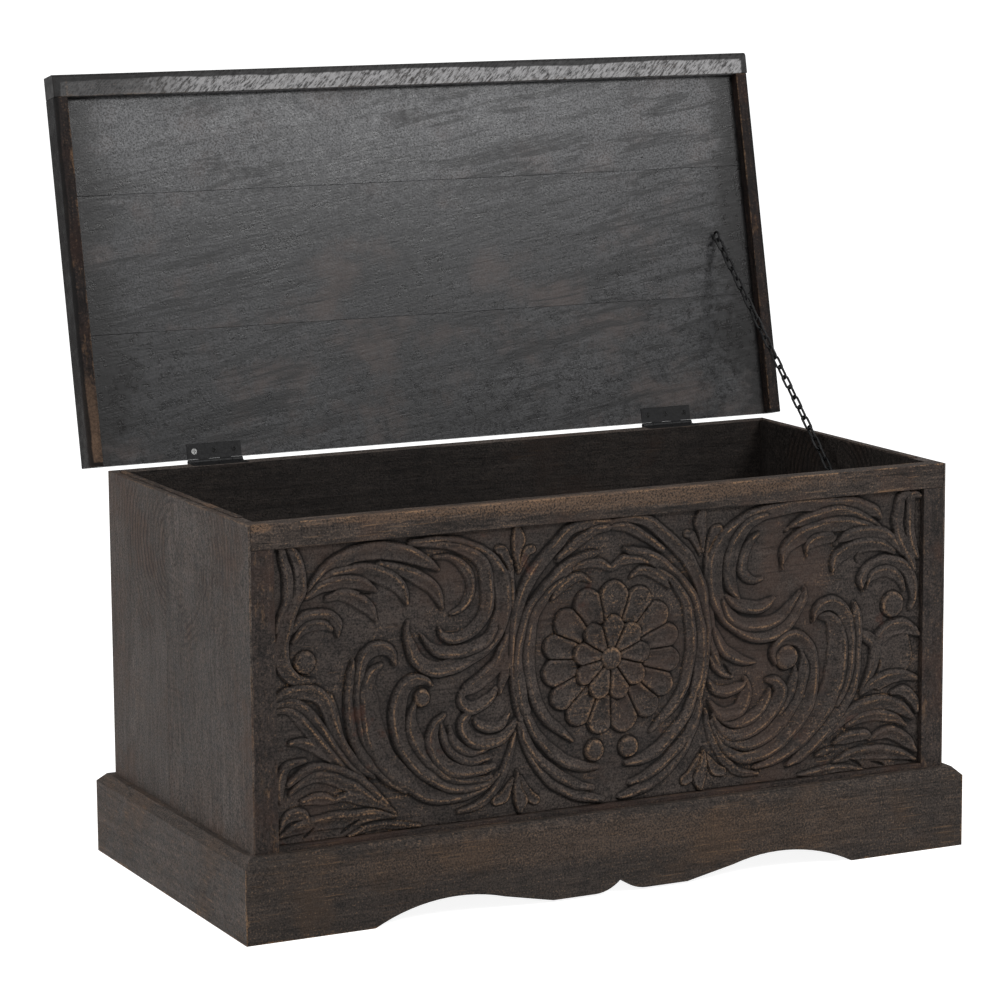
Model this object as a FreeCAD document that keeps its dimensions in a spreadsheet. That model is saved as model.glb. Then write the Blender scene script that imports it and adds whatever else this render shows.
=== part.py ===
import FreeCAD, Part
import math
import os
import re
import Sketcher

# Carved wooden trunk with a hinged lid, shown open against its stay chain.
# Millimetres. X runs along the width, Y from the front to the back, Z up.
# The origin is on the floor, at the middle of the plinth's back edge.
# Lid pieces are drawn lid shut, in a frame whose origin is on the hinge pins,
# and one placement then turns them all open about those pins.

SIZES = {
    # Carcass: four walls that stop short of the floor
    "body_width": 900,
    "body_depth": 432,
    "body_top": 467,
    "wall_foot": 40,
    "side_thickness": 15,
    "back_thickness": 20,
    "side_seam_share": 0.59,
    "back_seam_share": 0.5,
    "seam_arris": 0.5,
    "rim_arris": 1.5,
    # Laths on the inner half of the side walls' rims
    "lath_width": 8,
    "lath_height": 1.6,
    "lath_front_gap": 28,
    "lath_arris": 0.4,
    # Front frame and the carved panel held in its grooves
    "frame_thickness": 22,
    "top_rail_height": 29,
    "stile_width": 27.5,
    "corner_lip": 2.5,
    "bottom_rail_reveal": 5.5,
    "panel_setback": 1.5,
    "panel_thickness": 16,
    "carving_depth": 8.3,
    "leaf_height": 5.5,
    "heart_height": 6.8,
    "boss_height": 7.8,
    "groove_setback": 10,
    "tongue_thickness": 7,
    "tongue_reach": 7,
    "joint_slack": 0.3,
    # Bottom boards and the cleats under them
    "floor_height": 62,
    "floor_thickness": 10,
    "floor_seam_share": 0.5,
    "cleat_size": 20,
    # Plinth of four mitred aprons
    "plinth_height": 97,
    "apron_thickness": 18,
    "apron_chamfer": 10,
    # Scalloped lower edge of the front apron, half widths from the middle
    "scallop_foot": 312,
    "scallop_crown": 210,
    "scallop_bend": 150,
    "scallop_lobe_end": 88,
    "scallop_notch": 34,
    "crown_rise": 24.5,
    "bend_rise": 16,
    "lobe_rise": 3.4,
    "notch_rise": 17.5,
    # Hinges
    "hinge_inset": 139,
    "leaf_length": 70,
    "leaf_width": 22,
    "leaf_thickness": 2,
    "leaf_gap": 0.4,
    "leaf_inset": 1.4,
    "barrel_radius": 3.2,
    "barrel_clearance": 0.4,
    "knuckle_gap": 0.4,
    "pin_radius": 1.6,
    "pin_clearance": 0.05,
    "pin_proud": 0.8,
    "screw_spacing": 26,
    "screw_reach": 13,
    "screw_head_radius": 3.6,
    "countersink_angle": 90,
    "screw_shank_radius": 1.8,
    "screw_length": 13,
    "screw_hole_slack": 0.1,
    "screw_slot_length": 5,
    "screw_slot_width": 1.1,
    "screw_slot_depth": 1.0,
    # Lid
    "open_angle": 102,
    "lid_thickness": 18,
    "lid_side_gap": 8,
    "lid_front_gap": 10,
    "side_lip_thickness": 17,
    "front_lip_thickness": 27,
    "lip_drop": 13,
    "lip_rounding": 5,
    "lip_arris": 1,
    "lid_rear_seam_share": 0.354,
    "lid_front_seam_share": 0.732,
    # Stay chain and its two screw eyes
    "link_wire": 3,
    "link_inner_length": 16.3,
    "link_inner_width": 4.5,
    "link_clearance": 0.3,
    "eye_ring_radius": 6.5,
    "eye_wire": 3,
    "lid_eye_standoff": 9,
    "wall_eye_standoff": 14,
    "eye_shank_length": 12,
    "lid_eye_inset": 43,
    "lid_eye_reach": 235,
    "wall_eye_drop": 50,
    # One overrun serves every cut
    "cut_overrun": 2,
}
LID_LINK_COUNT = 14
WALL_LINK_COUNT = 10
KNUCKLE_COUNT = 5
SCREW_COUNT = 3

LEFT = "(-body_width / 2)"
RIGHT = "(body_width / 2)"
FRONT = "(-apron_thickness - body_depth)"
BACK = "(-apron_thickness)"
LEFT_INSIDE = "(side_thickness - body_width / 2)"
RIGHT_INSIDE = "(body_width / 2 - side_thickness)"
FRAME_BACK = "(%s + frame_thickness)" % FRONT
BACK_INSIDE = "(%s - back_thickness)" % BACK
SIDE_SEAM = "(%s + side_seam_share * (%s - %s))" % (FRAME_BACK, BACK_INSIDE, FRAME_BACK)
RAIL_BOTTOM = "(body_top - top_rail_height)"
SILL = "(plinth_height + bottom_rail_reveal)"
FRAME_HALF = "(body_width / 2 - corner_lip)"
OPENING_HALF = "(body_width / 2 - corner_lip - stile_width)"
CARVING_GROUND = "(%s + panel_setback + carving_depth)" % FRONT
GROOVE_FRONT = "(%s + groove_setback - joint_slack)" % FRONT
GROOVE_BACK = "(%s + groove_setback + tongue_thickness + joint_slack)" % FRONT
GROOVE_DEPTH = "(tongue_reach + joint_slack)"
PIN_Y = "(%s + barrel_radius + barrel_clearance)" % BACK
PIN_Z = "(body_top + leaf_thickness - leaf_inset + leaf_gap)"
# In the lid's own frame
UNDERSIDE = "(leaf_thickness - leaf_inset + leaf_gap)"
LID_TOP = "(leaf_thickness - leaf_inset + leaf_gap + lid_thickness)"
LIP_BOTTOM = "(leaf_thickness - leaf_inset + leaf_gap - lip_drop)"
LID_REAR = "(-barrel_radius - barrel_clearance)"
LIP_INSIDE = "(-barrel_radius - barrel_clearance - body_depth - lid_front_gap)"
LID_FRONT = "(-barrel_radius - barrel_clearance - body_depth - lid_front_gap - front_lip_thickness)"
LID_INNER_HALF = "(body_width / 2 + lid_side_gap)"
LID_HALF = "(body_width / 2 + lid_side_gap + side_lip_thickness)"
BORE_RADIUS = "(pin_radius + pin_clearance)"
SCREW_HOLE_RADIUS = "(screw_shank_radius + screw_hole_slack)"
EYE_HOLE_RADIUS = "(eye_wire / 2 + screw_hole_slack)"
# Stay chain: from a ring's middle to the wire of the link in it, and the chain pulled taut
RING_TO_LINK = "(eye_ring_radius - (eye_wire + link_wire) / 2 - link_clearance)"
LINK_PITCH = "(link_inner_length - link_clearance)"
LINK_OUTER_LENGTH = "(link_inner_length + link_wire)"
TAUT_LENGTH = "(2 * %s + %s + %d * %s)" % (
    RING_TO_LINK, LINK_OUTER_LENGTH, LID_LINK_COUNT + WALL_LINK_COUNT - 1, LINK_PITCH)
# Middles of the rings: the lid's is turned open about the pins, the wall's is where the chain ends
LID_RING_X = "(body_width / 2 - lid_eye_inset)"
LID_RING_DROP = "(%s - lid_eye_standoff)" % UNDERSIDE
LID_RING_Y = "(%s - lid_eye_reach * cos(open_angle) + %s * sin(open_angle))" % (PIN_Y, LID_RING_DROP)
LID_RING_Z = "(%s + lid_eye_reach * sin(open_angle) + %s * cos(open_angle))" % (PIN_Z, LID_RING_DROP)
WALL_RING_X = "(%s - wall_eye_standoff)" % RIGHT_INSIDE
WALL_RING_Z = "(body_top - wall_eye_drop)"
WALL_RING_Y = "(%s - sqrt(%s ^ 2 - (%s - %s) ^ 2 - (%s - %s) ^ 2))" % (
    LID_RING_Y, TAUT_LENGTH, WALL_RING_X, LID_RING_X, LID_RING_Z, WALL_RING_Z)

doc = FreeCAD.newDocument("CarvedTrunk")


def make_sheet():
    sheet = doc.addObject("Spreadsheet::Sheet", "Sizes")
    for row, (alias, value) in enumerate(SIZES.items(), start=1):
        cell = "A%d" % row
        sheet.set(cell, str(value))
        sheet.setAlias(cell, alias)
    doc.recompute()
    return sheet


sheet = make_sheet()
gauge = doc.addObject("App::FeaturePython", "Gauge")
gauge.addProperty("App::PropertyFloat", "Reading")
PIECES = []


def formula(text):
    """Point every size named in the text at its cell in the sheet."""
    return re.sub(r"\b[a-z]+(_[a-z]+)+\b", lambda found: "Sizes." + found.group(0), text)


def size(name):
    return float(sheet.get(name))


def reading(text):
    """The number that a formula of named sizes comes to."""
    gauge.setExpression("Reading", formula(text))
    gauge.recompute()
    return gauge.Reading


def bind(thing, prop, text):
    thing.setExpression(prop, formula(text))


# Sketches and features that every wooden and metal piece uses

def new_body(label):
    body = doc.addObject("PartDesign::Body", label)
    body.Label = label
    PIECES.append(body)
    return body


def origin_plane(body, role):
    for feature in body.Origin.OriginFeatures:
        if feature.Role == role:
            return feature
    raise ValueError(role)


def sketch_on(body, role, offset):
    """An empty sketch on one of the body's own planes, moved along that plane's normal."""
    sketch = body.newObject("Sketcher::SketchObject", body.Label + "_sketch")
    sketch.AttachmentSupport = [(origin_plane(body, role), "")]
    sketch.MapMode = "FlatFace"
    bind(sketch, "AttachmentOffset.Base.z", offset)
    return sketch


def pin_down(sketch, geometry, vertex, place):
    """Hold one vertex at the place that two formulas give."""
    for kind, text in zip(("DistanceX", "DistanceY"), place):
        row = sketch.addConstraint(Sketcher.Constraint(kind, -1, 1, geometry, vertex, reading(text)))
        bind(sketch, "Constraints[%d]" % row, text)


def arc_between(start, end, radius, clockwise):
    """The short arc from start to end, turning one way or the other."""
    chord = end - start
    middle = (start + end) * 0.5
    rise = math.sqrt(radius ** 2 - (chord.Length / 2) ** 2)
    across = FreeCAD.Vector(-chord.y, chord.x, 0).normalize()
    centre = middle - across * rise if clockwise else middle + across * rise
    first, last = (end, start) if clockwise else (start, end)
    angles = [math.atan2(point.y - centre.y, point.x - centre.x) for point in (first, last)]
    if angles[1] < angles[0]:
        angles[1] += 2 * math.pi
    circle = Part.Circle(centre, FreeCAD.Vector(0, 0, 1), radius)
    return Part.ArcOfCircle(circle, angles[0], angles[1])


def draw_outline(sketch, places, arcs=None):
    """A closed outline through the places; arcs maps a side's number to (radius, clockwise)."""
    arcs = arcs or {}
    points = [FreeCAD.Vector(reading(x), reading(y), 0) for x, y in places]
    first = sketch.GeometryCount
    ends = []
    for side, start in enumerate(points):
        end = points[(side + 1) % len(points)]
        if side in arcs:
            radius, clockwise = arcs[side]
            geometry = sketch.addGeometry(arc_between(start, end, reading(radius), clockwise))
            row = sketch.addConstraint(Sketcher.Constraint("Radius", geometry, reading(radius)))
            bind(sketch, "Constraints[%d]" % row, radius)
            ends.append((2, 1) if clockwise else (1, 2))
        else:
            sketch.addGeometry(Part.LineSegment(start, end))
            ends.append((1, 2))
    for side, place in enumerate(places):
        following = (side + 1) % len(places)
        sketch.addConstraint(Sketcher.Constraint(
            "Coincident", first + side, ends[side][1], first + following, ends[following][0]))
        pin_down(sketch, first + side, ends[side][0], place)


def draw_circle(sketch, x, y, radius):
    centre = FreeCAD.Vector(reading(x), reading(y), 0)
    circle = Part.Circle(centre, FreeCAD.Vector(0, 0, 1), reading(radius))
    geometry = sketch.addGeometry(circle)
    row = sketch.addConstraint(Sketcher.Constraint("Radius", geometry, reading(radius)))
    bind(sketch, "Constraints[%d]" % row, radius)
    pin_down(sketch, geometry, 3, (x, y))


def rectangle(x, y):
    return [(x[0], y[0]), (x[1], y[0]), (x[1], y[1]), (x[0], y[1])]


def pad(body, sketch, length):
    feature = body.newObject("PartDesign::Pad", body.Label + "_pad")
    feature.Profile = sketch
    bind(feature, "Length", length)
    doc.recompute()
    return feature


def pocket(body, sketch, depth, upward=False):
    """Cut along the sketch's normal when upward, against it otherwise, and make sure it cut."""
    before = body.Shape.Volume
    feature = body.newObject("PartDesign::Pocket", body.Label + "_pocket")
    feature.Profile = sketch
    feature.Reversed = upward
    bind(feature, "Length", depth)
    doc.recompute()
    if body.Shape.Volume >= before:
        raise ValueError(body.Label + ": a pocket cut nothing")
    return feature


def round_all(body, radius):
    solid = body.Tip
    feature = body.newObject("PartDesign::Fillet", body.Label + "_arris")
    feature.Base = (solid, ["Edge1"])
    feature.UseAllEdges = True
    bind(feature, "Radius", radius)
    doc.recompute()
    return feature


def board(label, x, y, z, arris="seam_arris"):
    """A sawn board between two places on each axis, its arrises eased."""
    body = new_body(label)
    sketch = sketch_on(body, "XY_Plane", z[0])
    draw_outline(sketch, rectangle(x, y))
    pad(body, sketch, "%s - %s" % (z[1], z[0]))
    round_all(body, arris)
    return body


def hang_on_lid(piece):
    """Place a piece drawn in the lid's frame, turned open about the hinge pins."""
    backward = FreeCAD.Rotation(FreeCAD.Vector(-1, 0, 0), size("open_angle"))
    piece.Placement = FreeCAD.Placement(FreeCAD.Vector(), backward)
    bind(piece, "Placement.Base.y", PIN_Y)
    bind(piece, "Placement.Base.z", PIN_Z)
    bind(piece, "Placement.Rotation.Angle", "open_angle")
    return piece


def shaped_piece(label, shape, placement=FreeCAD.Placement()):
    piece = doc.addObject("Part::Feature", label)
    piece.Label = label
    piece.Shape = shape
    piece.Placement = placement
    PIECES.append(piece)
    return piece


# Front frame and carved panel

def cut_groove(body, x, top, depth, upward=False):
    """Plough the groove that holds the panel's tongue, between two places along X."""
    sketch = sketch_on(body, "XY_Plane", top)
    draw_outline(sketch, rectangle(x, (GROOVE_FRONT, GROOVE_BACK)))
    pocket(body, sketch, depth, upward)


def front_top_rail():
    body = board("front_top_rail", ("-" + FRAME_HALF, FRAME_HALF), (FRONT, FRAME_BACK),
                 (RAIL_BOTTOM, "body_top"), "rim_arris")
    end = "(%s + %s)" % (OPENING_HALF, GROOVE_DEPTH)
    cut_groove(body, ("-" + end, end), RAIL_BOTTOM, GROOVE_DEPTH, upward=True)


def front_stile(label, sign):
    """An upright under the top rail, grooved along its inner edge."""
    outer = "(%s * %s)" % (sign, FRAME_HALF)
    inner = "(%s * %s)" % (sign, OPENING_HALF)
    body = board(label, (outer, inner), (FRONT, FRAME_BACK), ("wall_foot", RAIL_BOTTOM))
    groove_bed = "(%s * (%s + %s))" % (sign, OPENING_HALF, GROOVE_DEPTH)
    open_side = "(%s * (%s - cut_overrun))" % (sign, OPENING_HALF)
    cut_groove(body, (groove_bed, open_side), RAIL_BOTTOM, "%s - wall_foot + cut_overrun" % RAIL_BOTTOM)


def front_bottom_rail():
    """The rail between the stiles, mostly behind the plinth, grooved along its top."""
    body = board("front_bottom_rail", ("-" + OPENING_HALF, OPENING_HALF), (FRONT, FRAME_BACK),
                 ("wall_foot", SILL))
    end = "(%s + cut_overrun)" % OPENING_HALF
    cut_groove(body, ("-" + end, end), SILL, GROOVE_DEPTH)


# Main forms of the carving, one half of them: (outward, up, half width) along each leaf's curve, in
# millimetres from the middle of the floor line, on a field that is 840 wide and runs from 102.5 to 438
FIELD_HALF = 420
FIELD_BOTTOM = 102.5
FIELD_TOP = 438
LEAVES = {
    "ring": [(16, 424, 9), (52, 416, 10), (85, 396, 11), (108, 365, 10), (120, 330, 9), (123, 285, 8),
             (118, 232, 8), (108, 202, 9), (90, 170, 11), (66, 146, 11), (40, 128, 9), (16, 119, 6)],
    "upper scroll": [(262, 434, 3), (222, 427, 9), (184, 414, 13), (158, 388, 15), (152, 352, 15),
                     (168, 316, 14), (200, 298, 12), (234, 300, 9), (252, 326, 3)],
    "upper blade": [(374, 394, 3), (348, 410, 9), (312, 414, 13), (274, 405, 15), (244, 384, 12), (218, 350, 3)],
    "upright leaf": [(399, 434, 11), (397, 398, 13), (403, 362, 11), (409, 328, 8), (403, 294, 7), (376, 282, 3)],
    "hook leaf": [(400, 340, 5), (382, 352, 8), (358, 352, 7), (342, 338, 3)],
    "side leaf": [(412, 269, 6), (386, 260, 12), (364, 242, 13), (346, 212, 9), (318, 170, 3)],
    "great scroll": [(322, 300, 3), (320, 262, 13), (315, 222, 15), (300, 188, 15), (272, 160, 14),
                     (238, 140, 13), (200, 130, 10), (156, 140, 3)],
    "volute": [(226, 256, 3), (236, 271, 6), (257, 264, 10), (268, 238, 13), (264, 205, 13), (246, 176, 12),
               (216, 157, 10), (166, 152, 4)],
    "upper shell": [(189, 248, 3), (170, 233, 8), (148, 236, 7), (132, 252, 3)],
    "lower shell": [(187, 224, 3), (166, 198, 9), (142, 202, 8), (124, 222, 3)],
    "corner leaf": [(413, 164, 5), (390, 180, 11), (348, 174, 14), (308, 150, 10), (276, 124, 3)],
    "corner foot": [(410, 113, 6), (368, 122, 9), (322, 122, 8), (280, 116, 3)],
}
ROSETTE_UP = 273
ROSETTE_RADIUS = 88
ROSETTE_HEART_RADIUS = 50
ROSETTE_BOSS_RADIUS = 14


def on_field(outward, up):
    """A place of the carving, stretched with the field and put on its ground."""
    across = outward * reading(OPENING_HALF) / FIELD_HALF
    share = (up - FIELD_BOTTOM) / (FIELD_TOP - FIELD_BOTTOM)
    height = reading(SILL) + share * (reading(RAIL_BOTTOM) - reading(SILL))
    return FreeCAD.Vector(across, reading(CARVING_GROUND), height)


def leaf_outline(points):
    """The closed outline of a leaf: a smooth curve down each side of its middle line."""
    middles = [FreeCAD.Vector(outward, up, 0) for outward, up, _ in points]
    edges = {1: [], -1: []}
    for number, (_, _, half) in enumerate(points):
        before = middles[max(number - 1, 0)]
        after = middles[min(number + 1, len(points) - 1)]
        run = (after - before).normalize()
        for sign in edges:
            place = middles[number] + FreeCAD.Vector(-run.y, run.x, 0) * (sign * half)
            edges[sign].append(on_field(place.x, place.y))
    curves = []
    for side in (edges[1], edges[-1][::-1]):
        curve = Part.BSplineCurve()
        curve.interpolate(side)
        curves.append(curve.toShape())
    caps = [Part.makeLine(edges[1][-1], edges[-1][-1]), Part.makeLine(edges[-1][0], edges[1][0])]
    return Part.Wire([curves[0], caps[0], curves[1], caps[1]])


def raised_leaf(points, side):
    face = Part.Face(leaf_outline(points))
    if side < 0:
        face = face.mirror(FreeCAD.Vector(), FreeCAD.Vector(1, 0, 0))
    return face.extrude(FreeCAD.Vector(0, -size("leaf_height"), 0))


def rosette_tiers():
    """The double flower in the middle: petals, heart and boss as three stepped discs."""
    centre = on_field(0, ROSETTE_UP)
    toward = FreeCAD.Vector(0, -1, 0)
    tiers = ((ROSETTE_RADIUS, "leaf_height"), (ROSETTE_HEART_RADIUS, "heart_height"),
             (ROSETTE_BOSS_RADIUS, "boss_height"))
    return [Part.makeCylinder(radius, size(height), centre, toward) for radius, height in tiers]


def slab(half_width, bottom, top, front, back):
    """A plain board on the middle line, from formulas."""
    low = FreeCAD.Vector(-reading(half_width), reading(front), reading(bottom))
    return Part.makeBox(2 * reading(half_width), reading(back) - reading(front), reading(top) - reading(bottom), low)


def carved_panel():
    """The field of the front: the ground with the carving's main forms on it, and a tongue all round."""
    ground = slab("(%s - joint_slack)" % OPENING_HALF, "(%s + joint_slack)" % SILL,
                  "(%s - joint_slack)" % RAIL_BOTTOM, CARVING_GROUND,
                  "(%s + panel_setback + panel_thickness)" % FRONT)
    tongue = slab("(%s + tongue_reach)" % OPENING_HALF, "(%s - tongue_reach)" % SILL,
                  "(%s + tongue_reach)" % RAIL_BOTTOM, "(%s + groove_setback)" % FRONT,
                  "(%s + groove_setback + tongue_thickness)" % FRONT)
    leaves = [raised_leaf(points, side) for points in LEAVES.values() for side in (1, -1)]
    solid = ground.multiFuse([tongue] + leaves + rosette_tiers()).removeSplitter()
    shaped_piece("carved_panel", solid)


# Side, back and bottom

def side_boards(side, sign):
    """Two upright boards glued edge to edge. The front one laps over the frame's end with a thin lip."""
    inner = "(%s * %s)" % (sign, RIGHT_INSIDE)
    x = ("%s * body_width / 2" % sign, inner)
    z = ("wall_foot", "body_top")
    front = board(side + "_side_front_board", x, (FRONT, SIDE_SEAM), z)
    rebate = sketch_on(front, "XY_Plane", "body_top")
    open_side = "(%s * (%s - cut_overrun))" % (sign, RIGHT_INSIDE)
    lip_face = "(%s * %s)" % (sign, FRAME_HALF)
    draw_outline(rebate, rectangle((open_side, lip_face), ("(%s - cut_overrun)" % FRONT, FRAME_BACK)))
    pocket(front, rebate, "body_top - wall_foot + cut_overrun")
    rear = board(side + "_side_rear_board", x, (SIDE_SEAM, BACK), z)
    lath_x = (inner, "(%s * (%s + lath_width))" % (sign, RIGHT_INSIDE))
    lath_y = ("(%s + lath_front_gap)" % FRAME_BACK, BACK_INSIDE)
    board(side + "_rim_lath", lath_x, lath_y, ("body_top", "(body_top + lath_height)"), "lath_arris")
    return front, rear


def bore_for_wall_eye(front, rear):
    """The hole in the right wall that the chain's screw eye is turned into, in the board or boards it meets."""
    carriers = []
    if reading("(%s - %s)" % (WALL_RING_Y, EYE_HOLE_RADIUS)) < reading(SIDE_SEAM):
        carriers.append(front)
    if reading("(%s + %s)" % (WALL_RING_Y, EYE_HOLE_RADIUS)) > reading(SIDE_SEAM):
        carriers.append(rear)
    for body in carriers:
        hole = sketch_on(body, "YZ_Plane", RIGHT_INSIDE)
        draw_circle(hole, WALL_RING_Y, WALL_RING_Z, EYE_HOLE_RADIUS)
        pocket(body, hole, "eye_shank_length + joint_slack", upward=True)


def hinge_places():
    return (("left", "(hinge_inset - body_width / 2)"), ("right", "(body_width / 2 - hinge_inset)"))


def let_in_leaf(body, face, y, cut_upward):
    """Sink a seat for each hinge leaf into a board's face, with holes for its screws."""
    for _, middle in hinge_places():
        seat = sketch_on(body, "XY_Plane", face)
        x = ("(%s - leaf_length / 2 - joint_slack)" % middle,
             "(%s + leaf_length / 2 + joint_slack)" % middle)
        draw_outline(seat, rectangle(x, y))
        pocket(body, seat, "leaf_inset", upward=cut_upward)


def drill_for_screws(body, face, screw_row, cut_upward):
    holes = sketch_on(body, "XY_Plane", face)
    for _, middle in hinge_places():
        for step in screw_steps():
            draw_circle(holes, "%s + %s * screw_spacing" % (middle, step), screw_row,
                        SCREW_HOLE_RADIUS)
    pocket(body, holes, "leaf_inset + screw_length", upward=cut_upward)


def screw_steps():
    middle = (SCREW_COUNT - 1) // 2
    return [step - middle for step in range(SCREW_COUNT)]


def back_boards():
    """Two level boards between the sides; the upper one carries the hinges."""
    seam = "(wall_foot + back_seam_share * (body_top - wall_foot))"
    board("back_lower_board", (LEFT_INSIDE, RIGHT_INSIDE), (BACK_INSIDE, BACK), ("wall_foot", seam))
    upper = board("back_upper_board", (LEFT_INSIDE, RIGHT_INSIDE), (BACK_INSIDE, BACK), (seam, "body_top"))
    seat = ("(%s - leaf_width - joint_slack)" % PIN_Y, "(%s + cut_overrun)" % BACK)
    let_in_leaf(upper, "body_top", seat, cut_upward=False)
    drill_for_screws(upper, "body_top", "(%s - screw_reach)" % PIN_Y, cut_upward=False)


def bottom_boards():
    x = ("(%s + joint_slack)" % LEFT_INSIDE, "(%s - joint_slack)" % RIGHT_INSIDE)
    front = "(%s + joint_slack)" % FRAME_BACK
    rear = "(%s - joint_slack)" % BACK_INSIDE
    seam = "(%s + floor_seam_share * (%s - %s))" % (front, rear, front)
    z = ("floor_height", "(floor_height + floor_thickness)")
    board("bottom_front_board", x, (front, seam), z)
    board("bottom_rear_board", x, (seam, rear), z)


def bottom_cleats():
    """Four battens round the inside of the walls that the bottom boards lie on."""
    z = ("(floor_height - cleat_size)", "floor_height")
    long_x = (LEFT_INSIDE, RIGHT_INSIDE)
    front_y = (FRAME_BACK, "(%s + cleat_size)" % FRAME_BACK)
    rear_y = ("(%s - cleat_size)" % BACK_INSIDE, BACK_INSIDE)
    short_y = (front_y[1], rear_y[0])
    board("bottom_cleat_front", long_x, front_y, z)
    board("bottom_cleat_rear", long_x, rear_y, z)
    board("bottom_cleat_left", (LEFT_INSIDE, "(%s + cleat_size)" % LEFT_INSIDE), short_y, z)
    board("bottom_cleat_right", ("(%s - cleat_size)" % RIGHT_INSIDE, RIGHT_INSIDE), short_y, z)


# Plinth

def apron(label, plan):
    """One mitred side of the plinth; the first two places of the plan are its outer face."""
    body = new_body(label)
    sketch = sketch_on(body, "XY_Plane", "0")
    draw_outline(sketch, plan)
    pad(body, sketch, "plinth_height")
    start = FreeCAD.Vector(reading(plan[0][0]), reading(plan[0][1]), size("plinth_height"))
    end = FreeCAD.Vector(reading(plan[1][0]), reading(plan[1][1]), size("plinth_height"))
    outer_edge = edge_between(body.Shape, start, end)
    solid = body.Tip
    chamfer = body.newObject("PartDesign::Chamfer", label + "_chamfer")
    chamfer.Base = (solid, [outer_edge])
    bind(chamfer, "Size", "apron_chamfer")
    doc.recompute()
    return body


def edge_between(shape, start, end):
    """Name of the straight edge whose middle lies halfway between two places."""
    middle = (start + end) * 0.5
    def off_middle(numbered):
        return numbered[1].CenterOfMass.distanceToPoint(middle)
    number, _ = min(enumerate(shape.Edges, start=1), key=off_middle)
    return "Edge%d" % number


def aprons():
    out_left = "(-body_width / 2 - apron_thickness)"
    out_right = "(body_width / 2 + apron_thickness)"
    out_front = "(%s - apron_thickness)" % FRONT
    out_back = "(%s + apron_thickness)" % BACK
    front = apron("front_apron", [(out_left, out_front), (out_right, out_front), (RIGHT, FRONT), (LEFT, FRONT)])
    scallop(front, out_front)
    apron("rear_apron", [(out_right, out_back), (out_left, out_back), (LEFT, BACK), (RIGHT, BACK)])
    apron("left_apron", [(out_left, out_back), (out_left, out_front), (LEFT, FRONT), (LEFT, BACK)])
    apron("right_apron", [(out_right, out_front), (out_right, out_back), (RIGHT, BACK), (RIGHT, FRONT)])


def flat_arc_radius(run, rise):
    """Radius of the arc that starts level and climbs the rise over the run."""
    return "((%s ^ 2 + %s ^ 2) / (2 * %s))" % (run, rise, rise)


def scallop(body, face):
    """Cut the two low arches, the lobes between them and the pointed middle notch."""
    half = [("scallop_foot", "0"), ("scallop_crown", "crown_rise"), ("scallop_bend", "bend_rise"),
            ("scallop_lobe_end", "lobe_rise"), ("scallop_notch", "lobe_rise")]
    below = "(-cut_overrun)"
    left = [("-(%s)" % x, z) for x, z in half]
    right = half[::-1]
    places = [("-(scallop_foot)", below)] + left + [("0", "notch_rise")] + right + [("scallop_foot", below)]
    outer = flat_arc_radius("(scallop_foot - scallop_crown)", "crown_rise")
    inner = flat_arc_radius("(scallop_crown - scallop_bend)", "(crown_rise - bend_rise)")
    notch = flat_arc_radius("scallop_notch", "(notch_rise - lobe_rise)")
    # The outline runs along the arches from left to right and back under the floor
    arcs = {1: (outer, True), 2: (inner, True), 5: (notch, False),
            6: (notch, False), 9: (inner, True), 10: (outer, True)}
    sketch = sketch_on(body, "XZ_Plane", "-%s" % face)
    draw_outline(sketch, places, arcs)
    pocket(body, sketch, "apron_thickness + cut_overrun")


# Lid

def lid_boards():
    """Three boards glued edge to edge; the rear one carries the hinges."""
    x = ("-" + LID_INNER_HALF, LID_INNER_HALF)
    z = (UNDERSIDE, LID_TOP)
    run = "(%s - %s)" % (LIP_INSIDE, LID_REAR)
    rear_seam = "(%s + lid_rear_seam_share * %s)" % (LID_REAR, run)
    front_seam = "(%s + lid_front_seam_share * %s)" % (LID_REAR, run)
    rear = board("lid_rear_board", x, (rear_seam, LID_REAR), z)
    middle = board("lid_middle_board", x, (front_seam, rear_seam), z)
    front = board("lid_front_board", x, (LIP_INSIDE, front_seam), z)
    seat = ("(-leaf_width - joint_slack)", "(%s + cut_overrun)" % LID_REAR)
    let_in_leaf(rear, UNDERSIDE, seat, cut_upward=True)
    drill_for_screws(rear, UNDERSIDE, "(-screw_reach)", cut_upward=True)
    eye_hole = sketch_on(middle, "XY_Plane", UNDERSIDE)
    draw_circle(eye_hole, LID_RING_X, "(-lid_eye_reach)", EYE_HOLE_RADIUS)
    pocket(middle, eye_hole, "eye_shank_length + joint_slack", upward=True)
    for piece in (rear, middle, front):
        hang_on_lid(piece)


def lid_lips():
    """The edging round the lid: the front lip runs across, the side lips butt against it."""
    left_face = "-" + LID_HALF
    lip("lid_front_lip", (left_face, LID_HALF), (LID_FRONT, LIP_INSIDE), (left_face, LID_FRONT), (LID_HALF, LID_FRONT))
    lip("lid_left_lip", (left_face, "-" + LID_INNER_HALF), (LIP_INSIDE, LID_REAR),
        (left_face, LIP_INSIDE), (left_face, LID_REAR))
    lip("lid_right_lip", (LID_INNER_HALF, LID_HALF), (LIP_INSIDE, LID_REAR),
        (LID_HALF, LIP_INSIDE), (LID_HALF, LID_REAR))


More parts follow.
